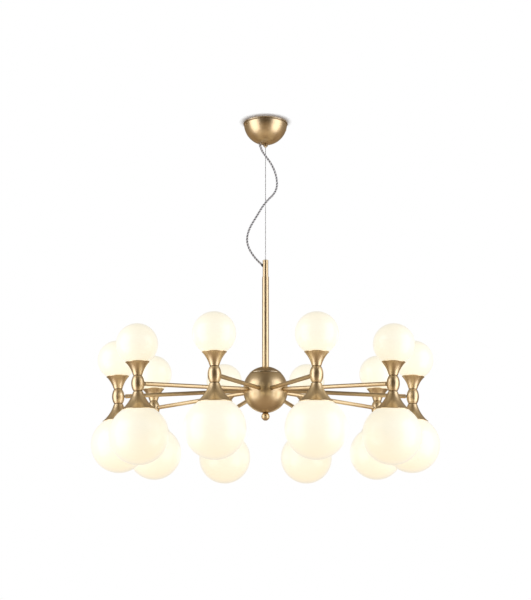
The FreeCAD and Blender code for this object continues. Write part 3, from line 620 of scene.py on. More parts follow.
class Finish:
    """The node tree of one material or of the world."""

    def __init__(self, owner):
        owner.use_nodes = True
        self.owner = owner
        self.tree = owner.node_tree
        self.tree.nodes.clear()

    def node(self, kind, inputs=None, **settings):
        """A node of that type, with its settings made first and then its sockets' values or links."""
        made = self.tree.nodes.new(kind)
        for name, setting in settings.items():
            setattr(made, name, setting)
        for key, given in (inputs or {}).items():
            given = given.socket if isinstance(given, Value) else given
            if isinstance(given, bpy.types.NodeSocket):
                self.tree.links.new(given, made.inputs[key])
            elif hasattr(given, "__len__") and made.inputs[key].type == "RGBA":
                made.inputs[key].default_value = (*given[:3], 1.0)
            else:
                made.inputs[key].default_value = given
        return made

    def value(self, socket):
        return Value(self, socket)

    def maths(self, operation, *operands):
        made = self.node("ShaderNodeMath", dict(enumerate(operands)), operation=operation)
        return self.value(made.outputs[0])

    @cached_property
    def place(self):
        """The Object coordinates, as a vector socket."""
        return self.node("ShaderNodeTexCoord").outputs["Object"]

    def parts(self, vector):
        split = self.node("ShaderNodeSeparateXYZ", {0: vector})
        return [self.value(out) for out in split.outputs]

    def vector(self, x, y, z):
        return self.node("ShaderNodeCombineXYZ", {0: x, 1: y, 2: z}).outputs[0]

    def noise(self, scale, detail=2.0, roughness=0.5, vector=None):
        vector = vector or self.place
        inputs = {"Vector": vector, "Scale": scale, "Detail": detail, "Roughness": roughness}
        return self.value(self.node("ShaderNodeTexNoise", inputs).outputs[0])

    def step(self, value, start, end):
        """0 up to start, 1 from end, and a smooth rise between them."""
        inputs = {"Value": value, "From Min": start, "From Max": end}
        made = self.node("ShaderNodeMapRange", inputs, interpolation_type="SMOOTHSTEP")
        return self.value(made.outputs[0])

    def mix(self, share, a, b):
        return self.node("ShaderNodeMix", {0: share, 6: a, 7: b}, data_type="RGBA").outputs[2]

    def edges(self):
        """The turned pieces' edge values, as how far a place stands out and how far it is sunk. Where a band
        of light is painted, the first also carries a painted highlight and the second painted shade.
        """
        stored = self.node("ShaderNodeAttribute", attribute_name="edge").outputs["Fac"]
        return self.step(stored, 0.05, 0.6), self.step(stored, -0.05, -0.6)

    def bump(self, height, strength, distance):
        inputs = {"Strength": strength, "Distance": distance, "Height": height}
        return self.node("ShaderNodeBump", inputs).outputs[0]

    def surface(self, **sockets):
        """One Principled shader to the output. Words of a socket's name are joined by _."""
        inputs = {name.replace("_", " "): given for name, given in sockets.items()}
        shader = self.node("ShaderNodeBsdfPrincipled", inputs)
        self.node("ShaderNodeOutputMaterial", {"Surface": shader.outputs[0]})
        return self.owner


def finish(name):
    """Makes a function that builds a material into one that builds it once, under that name, and gives it."""

    def once(build):
        return lambda: bpy.data.materials.get(name) or build(Finish(bpy.data.materials.new(name)))

    return once


@finish("satin_brass_turned")
def satin_brass(f):
    """Turned and fine-brushed brass under a thin lacquer, paler where edges are polished by handling and
    darker in its hollows. On some bands the same colours are painted light: a painted highlight on the
    canopy's lip and the hub cap's rim, and painted shade under the lip, over the gripper collar, under the
    cap seam, on the finial's collar and in the barrels' grooves.
    """
    colours = bpy.context.scene.chandelier_colours
    x, y, z = f.parts(f.place)
    across = (x * x + y * y) ** 0.5
    rings = f.noise(1.0, 3.0, 0.6, f.vector(across * 1900.0, z * 1900.0, x * 30.0))
    clouds = f.noise(38.0, 3.0)
    grain = f.noise(2600.0)
    proud, sunk = f.edges()
    tone = f.mix(clouds * 0.7 + rings * 0.3, colours.brass_deep, colours.brass)
    # Pale on polished edges and as a painted highlight. Dark in hollows and as painted shade.
    worn_and_highlit = f.mix(proud * 0.55, tone, POLISH_AND_HIGHLIGHT)
    darkened_and_shaded = f.mix(sunk * 0.8, worn_and_highlit, HOLLOW_DARK_AND_SHADE)
    rough = 0.29 + clouds * 0.06 + rings * 0.06 + sunk * 0.15 - proud * 0.10
    return f.surface(
        Base_Color=darkened_and_shaded, Metallic=1.0, Roughness=rough, Coat_Weight=0.12, Coat_Roughness=0.2,
        Normal=f.bump(rings * 0.7 + grain * 0.3, 0.10, 0.00004),
    )


@finish("plated_steel_mottled")
def plated_steel(f):
    """Zinc-plated steel with a faint crystalline mottling and brush marks."""
    steel = bpy.context.scene.chandelier_colours.steel
    mottle = f.noise(320.0, 4.0, 0.65)
    marks = f.noise(1400.0)
    proud, sunk = f.edges()
    tone = f.mix(mottle, [c * 0.72 for c in steel], steel)
    # Darker down in hollows such as the thread roots.
    hollows_darker = f.mix(sunk * 0.8, tone, HOLLOW_DARK)
    return f.surface(
        Base_Color=f.mix(proud * 0.5, hollows_darker, POLISHED_STEEL), Metallic=1.0,
        Roughness=0.30 + mottle * 0.18 + sunk * 0.2, Normal=f.bump(marks, 0.12, 0.00005),
    )


@finish("rope_wire")
def rope_steel(f):
    """Bright drawn wire with faint darker streaks."""
    steel = bpy.context.scene.chandelier_colours.steel
    streaks = f.noise(900.0)
    tone = f.mix(streaks, [c * 0.8 for c in steel], steel)
    return f.surface(
        Base_Color=tone, Metallic=1.0, Roughness=0.28 + streaks * 0.12,
        Normal=f.bump(streaks, 0.1, 0.00003),
    )


@finish("clear_pvc")
def clear_jacket(f):
    """Clear PVC: see-through head on, whiter and shinier towards its edges, with a slight haze."""
    jacket = bpy.context.scene.chandelier_colours.jacket
    haze = f.noise(260.0, 3.0)
    facing = f.value(f.node("ShaderNodeLayerWeight", {"Blend": 0.35}).outputs["Facing"])
    return f.surface(
        Base_Color=f.mix(haze, [c * 0.9 for c in jacket], jacket), Roughness=0.10 + haze * 0.12,
        Alpha=0.05 + haze * 0.06 + facing * 0.30, Coat_Weight=0.5, Coat_Roughness=0.06,
        Normal=f.bump(haze, 0.08, 0.0001),
    )


def tinned_core(name, core):
    """Tinned copper strands: fine crossing wires that read as a sleeve of one colour. Given the dark core
    colour, it is a painted shadow of the same wires.
    """

    @finish(name)
    def build(f):
        wires = f.noise(3200.0)
        patches = f.noise(210.0)
        tone = f.mix(wires, [c * 0.75 for c in core], core)
        return f.surface(
            Base_Color=f.mix(patches * 0.3, tone, [c * 0.85 for c in core]), Metallic=0.15,
            Roughness=0.32 + wires * 0.16, Normal=f.bump(wires, 0.35, 0.00008),
        )

    return build()


def moulded(name, colour, roughness):
    """Moulded plastic or rubber: one colour with a fine spark-eroded grain and faint flow marks."""

    @finish(name)
    def build(f):
        grain = f.noise(1500.0)
        flow = f.noise(60.0)
        return f.surface(
            Base_Color=f.mix(flow, [c * 0.88 for c in colour], colour),
            Roughness=roughness + grain * 0.12, Normal=f.bump(grain, 0.15, 0.00006),
        )

    return build()


@finish("opal_glass_lit")
def opal_glass(f):
    """Layered opal glass, lit from inside: satin outside, cloudy within. Its glow holds painted shade and a
    painted brass reflection: warmer by the lamp's holder and at the end away from it, and duller at its
    outline.
    """
    colours = bpy.context.scene.chandelier_colours
    height = f.parts(f.place)[2]
    clouds = f.noise(22.0, 3.0, 0.55)
    seeds = f.noise(900.0, 1.0)
    # Painted brass reflection and painted shade: warmer near the neck, by the trumpet.
    deep = f.step(height, 0.110, 0.045)
    # Painted shade at the outline, where the glass turns from view.
    rim = f.value(f.node("ShaderNodeLayerWeight", {"Blend": 0.5}).outputs["Facing"])
    # Painted shade at the end away from the neck.
    far = f.step(height, 0.100, 0.190)
    core = f.mix(clouds * 0.2 + deep * 0.35 + far * 0.6, colours.glow, WARM_SHADE_AND_REFLECTION)
    glow = f.mix(f.step(rim, 0.35, 1.0), core, RIM_SHADE_GLOW)
    return f.surface(
        Base_Color=f.mix(clouds, [c * 0.97 for c in colours.opal], colours.opal),
        Roughness=0.26 + clouds * 0.10, Coat_Weight=0.15, Coat_Roughness=0.12, Emission_Color=glow,
        Emission_Strength=0.75, Normal=f.bump(seeds, 0.03, 0.0001),
    )


@finish("frosted_lamp_glass")
def frosted_lamp(f):
    """The frosted envelope of a small capsule lamp that is switched on."""
    frost = f.noise(1100.0)
    return f.surface(
        Base_Color=f.mix(frost, *FROST), Roughness=0.45 + frost * 0.15,
        Emission_Color=f.mix(frost, *LAMP_LIGHT), Emission_Strength=2.0,
    )


# ---- Outlines of the turned pieces ----


def canopy_outline():
    inner = CANOPY_RADIUS - CANOPY_WALL
    hole = GRIPPER_SHANK + 0.1 * MM
    lip_radius = high("canopy_bowl").x
    outline = [(inner, 0.0)]
    outline += ball_arc(0.0, inner, (inner, -1), (hole, -1), 40)
    outline += ball_arc(0.0, CANOPY_RADIUS, (hole, -1), (CANOPY_RADIUS * 0.9985, -1), 44)
    outline += [(CANOPY_RADIUS, -CANOPY_LIP_HEIGHT), (lip_radius, -CANOPY_LIP_HEIGHT)]
    outline += [(lip_radius, 0.0)]
    return outline


def gripper_outline():
    flange = high("gripper_body").x
    bottom, top = span("gripper_body")
    seat = -sqrt(CANOPY_RADIUS**2 - flange**2) - 0.45 * MM
    return [
        (PLUNGER_RADIUS + 0.05 * MM, bottom), (flange - 0.6 * MM, bottom), (flange, bottom + 0.6 * MM),
        (flange, seat), (GRIPPER_SHANK, seat), (GRIPPER_SHANK, top), (ROPE_HOLE, top),
        (ROPE_HOLE, top - 2 * MM), (GRIPPER_CAVITY, top - 2 * MM), (GRIPPER_CAVITY, bottom + 4 * MM),
        (PLUNGER_RADIUS + 0.05 * MM, bottom + 4 * MM),
    ]


def plunger_outline():
    tip, top = span("gripper_plunger")
    collar = high("gripper_plunger").x
    return [
        (ROPE_HOLE, tip), (PLUNGER_RADIUS - 0.5 * MM, tip), (PLUNGER_RADIUS, tip + 0.5 * MM),
        (PLUNGER_RADIUS, top - 2 * MM), (collar, top - 2 * MM), (collar, top), (ROPE_HOLE, top),
    ]


def stem_head_outline():
    bottom, top = span("stem_head")
    step = high("stem_tube").z + 0.4 * MM
    radius = high("stem_head").x
    chamfer = 0.8 * MM
    return [
        (ROPE_HOLE, top), (ROPE_HOLE, top - 3 * MM), (STEM_HEAD_BORE, top - 3 * MM),
        (STEM_HEAD_BORE, step + 3 * MM), (SPIGOT_BORE, step + 3 * MM), (SPIGOT_BORE, bottom),
        (SPIGOT_RADIUS, bottom), (SPIGOT_RADIUS, step), (radius, step), (radius, top - chamfer),
        (radius - chamfer, top),
    ]


def tube_outline(outer, inner, bottom, top):
    return [(inner, bottom), (outer, bottom), (outer, top), (inner, top)]


def hub_shell_outline(side):
    """One half of the hub's casing, in the hub's frame."""
    inner = HUB_RADIUS - HUB_WALL
    mouth = CAP_SEAM if side > 0 else HUB_MOUTH
    middle = side * HUB_BAND
    outline = [(HUB_RADIUS, 0.0)]
    outline += ball_arc(middle, HUB_RADIUS, (HUB_RADIUS, side), (mouth, side), 40)
    outline += ball_arc(middle, inner, (mouth, side), (inner, side), 40)
    outline += [(inner, 0.0)]
    return outline


def hub_cap_outline():
    outer = HUB_RADIUS + 0.7 * MM
    inner = HUB_RADIUS + 0.05 * MM
    hole = high("stem_tube").x + 0.3 * MM
    edge = high("hub_top_cap").x
    outline = ball_arc(HUB_BAND, outer, (edge, 1), (hole, 1), 24)
    outline += ball_arc(HUB_BAND, inner, (hole, 1), (edge, 1), 24)
    return outline


def finial_outline():
    """The ball nut, its collar and its rod, in the hub's frame."""
    ball = high("finial").x
    bottom, top = (height - HUB_MIDDLE.z for height in span("finial"))
    middle = bottom + ball
    seat = -HUB_BAND - HUB_RADIUS - 0.05 * MM
    start = asin((seat - FINIAL_COLLAR - middle) / ball)
    outline = [(0.0, top), (FINIAL_ROD, top), (FINIAL_ROD, seat), (FINIAL_COLLAR_RADIUS, seat)]
    outline += arc((0.0, middle), ball, start, -pi / 2, 36)
    outline[-1] = (0.0, middle - ball)
    return outline


def barrel_outline():
    end = TRUMPET_BASE
    radius = bow_radius(BARREL_HALF, BARREL_RADIUS - BARREL_END_RADIUS)
    hollow = BARREL_HALF - 3.0 * MM
    hollow_end = BARREL_END_RADIUS - BARREL_WALL + 1.0 * MM
    inner_radius = bow_radius(hollow, BARREL_RADIUS - BARREL_WALL - hollow_end)
    outline = bowed(
        (BARREL_END_RADIUS, -BARREL_HALF), (BARREL_END_RADIUS, BARREL_HALF), radius, -1, 36
    )
    outline += [
        (GROOVE_RADIUS, BARREL_HALF), (GROOVE_RADIUS, end), (HOLDER_THREAD, end),
        (HOLDER_THREAD, hollow),
    ]
    outline += bowed((hollow_end, hollow), (hollow_end, -hollow), inner_radius, 1, 24)
    outline += [
        (HOLDER_THREAD, -hollow), (HOLDER_THREAD, -end), (GROOVE_RADIUS, -end),
        (GROOVE_RADIUS, -BARREL_HALF),
    ]
    return outline


def rim_height(form):
    """How far from the barrel's middle the rim bead sits, so that it just clears the globe."""
    reach = form.globe + RIM_CLEARANCE + RIM_BEAD
    return form.centre - sqrt(reach**2 - form.rim ** 2)


def trumpet_outline(form):
    """A spun, flared cup with a flat floor and a bead rolled round its rim."""
    rim = Vector((form.rim, rim_height(form)))
    throat = Vector((form.throat, TRUMPET_BASE))
    chord = rim - throat
    slope = atan2(chord.y, chord.x) - asin(chord.length / 2 / form.flare)
    across = Vector((sin(slope), -cos(slope))) * (TRUMPET_WALL / 2)
    floor_top = TRUMPET_BASE + TRUMPET_FLOOR
    inner_throat = (form.throat - TRUMPET_WALL + 0.5 * MM, floor_top)
    hole = HOLDER_THREAD + 0.1 * MM
    outline = [(hole, floor_top), (hole, TRUMPET_BASE)]
    outline += bowed(throat, rim + across, form.flare, 1, 32)
    below = atan2(across.y, across.x)
    outline += arc(rim, RIM_BEAD, below - 0.5, below + pi + 0.5, 14)
    outline += bowed(rim - across, inner_throat, form.flare + TRUMPET_WALL, -1, 32)
    return outline


def globe_outline(form):
    """A hollow globe with a short neck, in the head's frame. It starts and ends on the axis."""
    outer = form.globe
    inner = outer - form.wall
    neck_inner = form.neck - 2.2 * MM
    outline = ball_arc(form.centre, outer, (0.0, 1), (form.neck, -1), 72)
    outline += [(form.neck, form.neck_end), (neck_inner, form.neck_end)]
    outline += ball_arc(form.centre, inner, (neck_inner, -1), (0.0, 1), 56)
    outline[0] = (0.0, form.centre + outer)
    outline[-1] = (0.0, form.centre + inner)
    return outline


# ---- Operators ----


class CHANDELIER_OT_canopy(bpy.types.Operator):
    """Makes the ceiling bowl, the rope gripper and the cord's strain relief, and dresses what is inside"""

    bl_idname = "chandelier.canopy"
    bl_label = "Canopy"

    def execute(self, context):
        bowl = turned_mesh("canopy_bowl_shell", canopy_outline(), segments=160, fillet=WIDE_FILLET)
        # Painted shade in a band just under the lip, then a painted highlight on the lip itself.
        painted_light_band(bowl, -2.0 * CANOPY_LIP_HEIGHT, -CANOPY_LIP_HEIGHT, -1.0)
        painted_light_band(bowl, -0.98 * CANOPY_LIP_HEIGHT, 0.0, 1.0)
        holes = []
        for azimuth in SIDE_SCREW_AZIMUTHS:
            outward = Vector((cos(azimuth), sin(azimuth), 0.0))
            drop = Vector((0.0, 0.0, -SIDE_SCREW_DROP))
            holes.append((SCREW_HOLE, *(outward * reach + drop for reach in SCREW_HOLE_REACH)))
        start = Vector(CORD_ROUTE[0])
        way = (Vector(CORD_ROUTE[1]) - start).normalized()
        holes.append((CORD_HOLE, start - way * CORD_HOLE_DEPTH, start))
        add_brass("canopy_bowl_shell", drilled(bowl, holes), "root", "canopy_bowl")
        collar = turned_mesh("gripper_collar", gripper_outline(), segments=64)
        # Painted shade over the whole outside of the gripper collar, under the bowl.
        painted_light_band(collar, low("gripper_body").z - MM, high("gripper_body").z, -1.0)
        add_brass("gripper_collar", collar, "root", "gripper_body")
        tip = turned_mesh("gripper_tip", plunger_outline(), segments=64)
        add_brass("gripper_tip", tip, "plunger", "gripper_plunger")
        self.strain_relief(start, way)
        dress(plated_steel(), "ceiling_plate", "gripper_nut", "gripper_spring")
        dress(satin_brass(), "canopy_side_screws")
        dress(moulded("connector_nylon", NYLON, 0.42), "terminal_block")
        return {"FINISHED"}

    def strain_relief(self, start, way):
        """A clear tapered sleeve with shallow rings, which follows the cord out of the bowl."""
        outside = evenly(spline_line(CORD_ROUTE), RELIEF_STEP)[: round(RELIEF_OUTSIDE / RELIEF_STEP)]
        inside_count = round(RELIEF_INSIDE / RELIEF_STEP)
        inside = [start - way * (RELIEF_STEP * k) for k in range(inside_count, 0, -1)]
        radii = [RELIEF_ROOT] * inside_count
        for k in range(len(outside)):
            taper = 1 - k / (len(outside) - 1)
            ripple = RELIEF_RIPPLE * cos(k * pi / 3) * min(1.0, 3 * taper)
            radii.append(RELIEF_TIP + RELIEF_TAPER * taper + ripple)
        bm = bmesh.new()
        tube_in(bm, inside + outside, radii, 32)
        mesh = mesh_from("cord_relief", bm)
        add_piece("cord_relief", mesh, "root", clear_jacket(), stands_for=["cord_bush"])


class CHANDELIER_OT_rope_and_cord(bpy.types.Operator):
    """Makes the stranded steel rope and the clear power cord with its twisted cores"""

    bl_idname = "chandelier.rope_and_cord"
    bl_label = "Rope and cord"

    def execute(self, context):
        self.rope()
        self.cord()
        dress(plated_steel(), "rope_stop")
        return {"FINISHED"}

    def hang(self, piece):
        """Bakes the piece's placement into its mesh."""
        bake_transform(piece)

    def rope(self):
        bottom, top = span("steel_rope")
        route = [(0.0, 0.0, top + (bottom - top) * k / 6) for k in range(7)]
        step = ROPE_PITCH / 14
        line = evenly(spline_line(route), step)
        strand = ROPE_RADIUS / 3
        bm = bmesh.new()
        tube_in(bm, line, [strand] * len(line), 8)
        for k in range(ROPE_STRANDS):
            phase = 2 * pi * k / ROPE_STRANDS
            wound = twisted(line, ROPE_RADIUS - strand, ROPE_PITCH, phase, step)
            tube_in(bm, wound, [strand] * len(wound), 8)
        mesh = mesh_from("suspension_rope", bm)
        rope = rope_steel()
        piece = add_piece("suspension_rope", mesh, None, rope, stands_for=["steel_rope"])
        self.hang(piece)

    def cord(self):
        line = evenly(spline_line(CORD_ROUTE), 1.5 * MM)
        bm = bmesh.new()
        tube_in(bm, line, [CORD_RADIUS] * len(line), 24)
        name = "power_cord_jacket"
        mesh = mesh_from(name, bm)
        jacket = add_piece(name, mesh, None, clear_jacket(), stands_for=["power_cord"])
        colours = bpy.context.scene.chandelier_colours
        core_step = CORE_PITCH / 12
        core_line = evenly(spline_line(CORD_ROUTE), core_step)
        cores = []
        # A lit and a shaded copy of the same tinned wire: painted highlight on one core, painted shadow on
        # the other.
        for phase, name, colour in [(0.0, "bright", colours.core), (pi, "dark", colours.shaded_core)]:
            bm = bmesh.new()
            wound = twisted(core_line, CORE_OFFSET, CORE_PITCH, phase, core_step)
            tube_in(bm, wound, [CORE_RADIUS] * len(wound), 12)
            mesh = mesh_from(f"power_cord_core_{name}", bm)
            material = tinned_core(f"core_{name}", colour)
            cores.append(add_piece(f"power_cord_core_{name}", mesh, None, material))
        for piece in (jacket, *cores):
            self.hang(piece)


class CHANDELIER_OT_stem(bpy.types.Operator):
    """Makes the stem's two sleeves, and dresses its swivel and grommet"""

    bl_idname = "chandelier.stem"
    bl_label = "Stem"

    def execute(self, context):
        end = Vector(CORD_ROUTE[-1])
        way = (end - Vector(CORD_ROUTE[-2])).normalized()
        head = turned_mesh("stem_sleeve", stem_head_outline(), segments=96)
        head = drilled(head, [(STEM_HOLE, *(end + way * reach for reach in STEM_HOLE_REACH))])
        add_brass("stem_sleeve", head, "suspension", "stem_head")
        outer = high("stem_tube").x
        outline = tube_outline(outer, outer - STEM_TUBE_WALL, *span("stem_tube"))
        tube = turned_mesh("stem_lower_tube", outline, segments=96, fillet=0.25 * MM)
        add_brass("stem_lower_tube", tube, "pendant", "stem_tube")
        dress(plated_steel(), "swivel_nut", "swivel_plug", "stem_foot")
        dress(moulded("grommet_rubber", RUBBER, 0.55), "stem_grommet")
        return {"FINISHED"}


class CHANDELIER_OT_hub(bpy.types.Operator):
    """Makes the hub's two shells with their arm holes, the domed cap and the finial"""

    bl_idname = "chandelier.hub"
    bl_label = "Hub"

    def execute(self, context):
        place = Matrix.Translation(HUB_MIDDLE)
        seam = HUB_BAND + sqrt(HUB_RADIUS**2 - CAP_SEAM**2)
        foot = -HUB_BAND - HUB_RADIUS
        holes = []
        for i, _ in each_arm():
            way = place.inverted() @ arm_place(i)
            holes.append((ARM_HOLE, *(way @ Vector((reach, 0.0, 0.0)) for reach in ARM_HOLE_REACH)))
        for side, half in (1, "upper"), (-1, "lower"):
            name = f"hub_shell_{half}"
            shell = turned_mesh(name, hub_shell_outline(side), segments=160, fillet=0.15 * MM)
            # Painted shade in a thin band just under the cap's seam.
            painted_light_band(shell, seam - 2.0 * MM, seam, -1.0)
            add_brass(name, drilled(shell, holes), "pendant", f"hub_{half}_shell", place)
        cap = turned_mesh("hub_cap", hub_cap_outline(), segments=160)
        # Painted highlight on the cap's lower rim at the seam.
        painted_light_band(cap, 0.0, seam + 1.5 * MM, 1.0)
        add_brass("hub_cap", cap, "pendant", "hub_top_cap", place)
        finial = turned_mesh("finial_ball", finial_outline(), closed=False, segments=96, fillet=0.3 * MM)
        # Painted shade on the finial's collar, right under the hub.
        painted_light_band(finial, foot - 3.6 * MM, foot, -1.0)
        add_brass("finial_ball", finial, "pendant", "finial", place)
        dress(plated_steel(), "hub_carrier")
        dress(moulded("connector_nylon", NYLON, 0.42), "hub_connectors")
        return {"FINISHED"}


class CHANDELIER_OT_arms(bpy.types.Operator):
    """Makes the arms' tubes and the threaded nipples at both their ends"""

    bl_idname = "chandelier.arms"
    bl_label = "Arms"

    def execute(self, context):
        sizes = context.scene.chandelier_sizes
        end = sizes.arm_reach - BARREL_RADIUS - ARM_END_GAP
        outline = tube_outline(sizes.arm_radius, ARM_BORE, ARM_START, end)
        tube = turned_mesh("arm_tube", outline, segments=64, fillet=0.3 * MM)
        into_head = sizes.arm_reach - BARREL_RADIUS + BARREL_WALL
        nipples = {
            "inner": self.nipple_outline(NIPPLE_INNER_END, ARM_START, ARM_START + NIPPLE_GRIP),
            "outer": self.nipple_outline(into_head, end, end - NIPPLE_GRIP),
        }
        for name, outline in nipples.items():
            nipples[name] = turned_mesh(f"nipple_{name}", outline, segments=40, fillet=0.05 * MM)
        steel = plated_steel()
        for i, label in each_arm():
            place = arm_place(i) @ Matrix.Rotation(pi / 2, 4, "Y")
            add_brass(f"arm_tube_{label}", tube, "pendant", f"arm_{label}", place)
            for name, mesh in nipples.items():
                piece = f"nipple_{name}_{label}"
                add_piece(piece, mesh, "pendant", steel, place, ["arm_nipples"])
        return {"FINISHED"}

    def nipple_outline(self, thread_end, shoulder, grip_end):
        """A nipple: its thread from thread_end to its shoulder, and its plain grip inside the arm."""
        count = round(abs(shoulder - thread_end) / THREAD_PITCH)
        pitch = (shoulder - thread_end) / count
        root = NIPPLE_RADIUS - THREAD_DEPTH
        outline = [(NIPPLE_BORE, thread_end)]
        for k in range(count):
            outline += [(root, thread_end + k * pitch), (NIPPLE_RADIUS, thread_end + (k + 0.5) * pitch)]
        outline += [(root, shoulder), (ARM_BORE, shoulder), (ARM_BORE, grip_end), (NIPPLE_BORE, grip_end)]
        return outline


class CHANDELIER_OT_heads(bpy.types.Operator):
    """Makes the ten turned heads: a barrel with a trumpet above it and a wider one below"""

    bl_idname = "chandelier.heads"
    bl_label = "Heads"

    def execute(self, context):
        barrel = turned_mesh("head_barrel", barrel_outline(), segments=96, fillet=WIDE_FILLET)
        # Painted shade in the grooves between the barrel and its trumpets.
        for side in (1, -1):
            ends = sorted((side * (BARREL_HALF - 0.4 * MM), side * (TRUMPET_BASE + 0.1 * MM)))
            painted_light_band(barrel, *ends, -1.0)
        reach = (-BARREL_RADIUS - 2 * MM, -BARREL_HOLE_END)
        barrel = drilled(barrel, [(NIPPLE_RADIUS, *(Vector((x, 0.0, 0.0)) for x in reach))])
        upper = turned_mesh("upper_trumpet", trumpet_outline(UPPER), segments=112)
        lower = turned_mesh("lower_trumpet", trumpet_outline(LOWER), segments=128)
        for i, label in each_arm():
            for name, mesh, side, node in [
                ("head_barrel", barrel, 1, "head_barrels"),
                ("trumpet_upper", upper, 1, "upper_trumpets"),
                ("trumpet_lower", lower, -1, "lower_trumpets"),
            ]:
                add_brass(f"{name}_{label}", mesh, "pendant", node, head_place(i, side))
        return {"FINISHED"}


class CHANDELIER_OT_globes(bpy.types.Operator):
    """Makes the opal glass globes, and dresses the lamps and their holders"""

    bl_idname = "chandelier.globes"
    bl_label = "Globes"

    def execute(self, context):
        glass = opal_glass()
        for form, name, node in (UPPER, "glass_upper", "upper_globe"), (LOWER, "glass_lower", "lower_globe"):
            mesh = turned_mesh(name, globe_outline(form), closed=False, segments=144, fillet=0.5 * MM)
            for i, label in each_arm():
                place = head_place(i, form.side)
                stands_for = [f"{node}_{label}"]
                add_piece(f"{name}_{label}", mesh, "pendant", glass, place, stands_for)
        dress(moulded("holder_thermoplastic", THERMOPLASTIC, 0.35), "lampholders")
        dress(frosted_lamp(), "lamps")
        return {"FINISHED"}


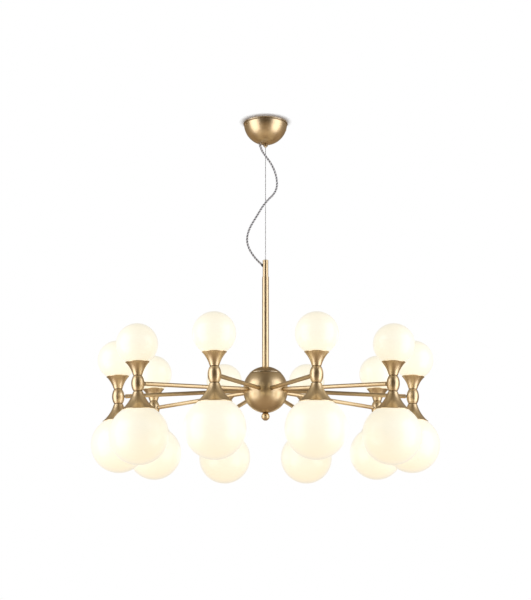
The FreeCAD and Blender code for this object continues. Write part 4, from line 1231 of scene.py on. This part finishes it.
class CHANDELIER_OT_stage(bpy.types.Operator):
    """Makes the floor, the patch of ceiling with the canopy's painted shadow, the lights and the camera"""

    bl_idname = "chandelier.stage"
    bl_label = "Stage"

    def execute(self, context):
        settings = context.scene.chandelier_stage
        floor = self.fading("floor_plaster", FLOOR, start=2.5, end=6.0)
        self.ring("floor", 6.0, 0.0, -settings.floor_drop, floor).visible_camera = False
        # Painted shadow: a grey ring round the canopy on the ceiling, fading out.
        ceiling = self.fading("ceiling_painted_shadow", CEILING_SHADOW, start=0.052, end=0.074, shadow_forward=0.010)
        self.ring("ceiling_shadow_patch", 0.059, 0.09, 0.0004, ceiling)
        self.softboxes(settings)
        self.world(context, settings)
        self.camera(context, settings)
        context.scene.view_settings.view_transform = "Standard"
        return {"FINISHED"}

    def ring(self, name, inner, outer, height, material):
        """A flat ring round the axis. Its front is below it where inner is the smaller radius."""
        mesh = turned_mesh(name, [(inner, 0.0), (outer, 0.0)], closed=False)
        mesh.materials.append(material)
        ring = placed(name, mesh)
        ring.location.z = height
        return ring

    def fading(self, name, colour, start, end, shadow_forward=0.0):
        """Matt plaster that fades out with distance from a point in front of the axis. On the ceiling it is
        grey, a painted shadow round the canopy.
        """
        f = Finish(bpy.data.materials.new(name))
        x, y = f.parts(f.place)[:2]
        ahead = y + shadow_forward
        gone = f.step((x * x + ahead * ahead) ** 0.5, start, end)
        mottle = f.noise(3.0, 4.0)
        gone = f.maths("MAXIMUM", gone, f.node("ShaderNodeNewGeometry").outputs["Backfacing"])
        inputs = {"Base Color": f.mix(mottle, [c * 0.97 for c in colour], colour), "Roughness": 0.85}
        plaster = f.node("ShaderNodeBsdfPrincipled", inputs)
        clear = f.node("ShaderNodeBsdfTransparent")
        blend = f.node("ShaderNodeMixShader", {0: gone, 1: plaster.outputs[0], 2: clear.outputs[0]})
        f.node("ShaderNodeOutputMaterial", {"Surface": blend.outputs[0]})
        return f.owner

    def softboxes(self, settings):
        """Two tall softboxes in front on the left and right, with the dark room between them."""
        for side, name in ((-1, "softbox_left"), (1, "softbox_right")):
            light = bpy.data.lights.new(name, "AREA")
            light.shape = "RECTANGLE"
            light.size = SOFTBOX_WIDTH
            light.size_y = SOFTBOX_TALL
            light.color = SOFTBOX_LIGHT
            light.energy = settings.softbox * pi * SOFTBOX_WIDTH * SOFTBOX_TALL
            lamp = placed(name, light)
            across = side * SOFTBOX_DISTANCE * sin(SOFTBOX_AZIMUTH)
            lamp.location = (across, -SOFTBOX_DISTANCE * cos(SOFTBOX_AZIMUTH), SOFTBOX_HEIGHT)
            lamp.rotation_euler = (SOFTBOX_AIM - lamp.location).to_track_quat("-Z", "Y").to_euler()
            lamp.visible_camera = False

    def world(self, context, settings):
        """White to the camera. The metal and the glass see dark in front, warm below, pale elsewhere."""
        world = bpy.data.worlds.new("studio")
        context.scene.world = world
        f = Finish(world)
        x, y, z = f.parts(f.node("ShaderNodeTexCoord").outputs["Generated"])
        front = f.step(y, -0.35, -0.95)
        below = f.step(z, -0.10, -0.75)
        above = f.step(z, 0.25, 0.9)
        aside = f.step(f.maths("ABSOLUTE", x), 0.15, 0.6)
        ceiling = f.mix(aside, ROOM_ABOVE, ROOM_HIGH_SIDES)
        lower = f.mix(below, f.mix(front, ROOM_SIDES, ROOM_FRONT), ROOM_BELOW)
        colour = f.mix(above, lower, ceiling)
        room = f.node("ShaderNodeBackground", {"Color": colour, "Strength": settings.surroundings})
        paper = f.node("ShaderNodeBackground", {"Color": (1.0, 1.0, 1.0), "Strength": 1.0})
        seen = f.node("ShaderNodeLightPath").outputs["Is Camera Ray"]
        both = f.node("ShaderNodeMixShader", {0: seen, 1: room.outputs[0], 2: paper.outputs[0]})
        f.node("ShaderNodeOutputWorld", {"Surface": both.outputs[0]})

    def camera(self, context, settings):
        camera = bpy.data.cameras.new("camera")
        camera.lens = settings.lens
        camera.clip_end = 60.0
        holder = placed("camera", camera)
        holder.location = (0.0, -settings.camera_back, -settings.camera_drop)
        holder.rotation_euler = (pi / 2 + settings.camera_pitch, 0.0, 0.0)
        context.scene.camera = holder


OPERATORS = (
    CHANDELIER_OT_rope_and_cord,
    CHANDELIER_OT_canopy,
    CHANDELIER_OT_stem,
    CHANDELIER_OT_hub,
    CHANDELIER_OT_arms,
    CHANDELIER_OT_heads,
    CHANDELIER_OT_globes,
    CHANDELIER_OT_stage,
)


class CHANDELIER_PT_build(bpy.types.Panel):
    """Lists the chandelier's sizes, colours and steps"""

    bl_idname = "CHANDELIER_PT_build"
    bl_label = "Globe Chandelier"
    bl_space_type = "VIEW_3D"
    bl_region_type = "UI"
    bl_category = "Chandelier"

    def draw(self, context):
        scene = context.scene
        for group in (scene.chandelier_sizes, scene.chandelier_colours, scene.chandelier_stage):
            box = self.layout.box()
            for name in group.bl_rna.properties.keys():
                if name not in ("rna_type", "name"):
                    box.prop(group, name)
        for operator in OPERATORS:
            self.layout.operator(operator.bl_idname)


GROUPS = {
    "chandelier_sizes": ChandelierSizes,
    "chandelier_colours": ChandelierColours,
    "chandelier_stage": ChandelierStage,
}


def register():
    for cls in (*GROUPS.values(), *OPERATORS, CHANDELIER_PT_build):
        bpy.utils.register_class(cls)
    for name, group in GROUPS.items():
        setattr(bpy.types.Scene, name, PointerProperty(type=group))


def unregister():
    for name in GROUPS:
        delattr(bpy.types.Scene, name)
    for cls in (CHANDELIER_PT_build, *OPERATORS, *reversed(GROUPS.values())):
        bpy.utils.unregister_class(cls)


def main():
    register()
    for operator in OPERATORS:
        group, name = operator.bl_idname.split(".")
        getattr(getattr(bpy.ops, group), name)()


if __name__ == "__main__":
    main()
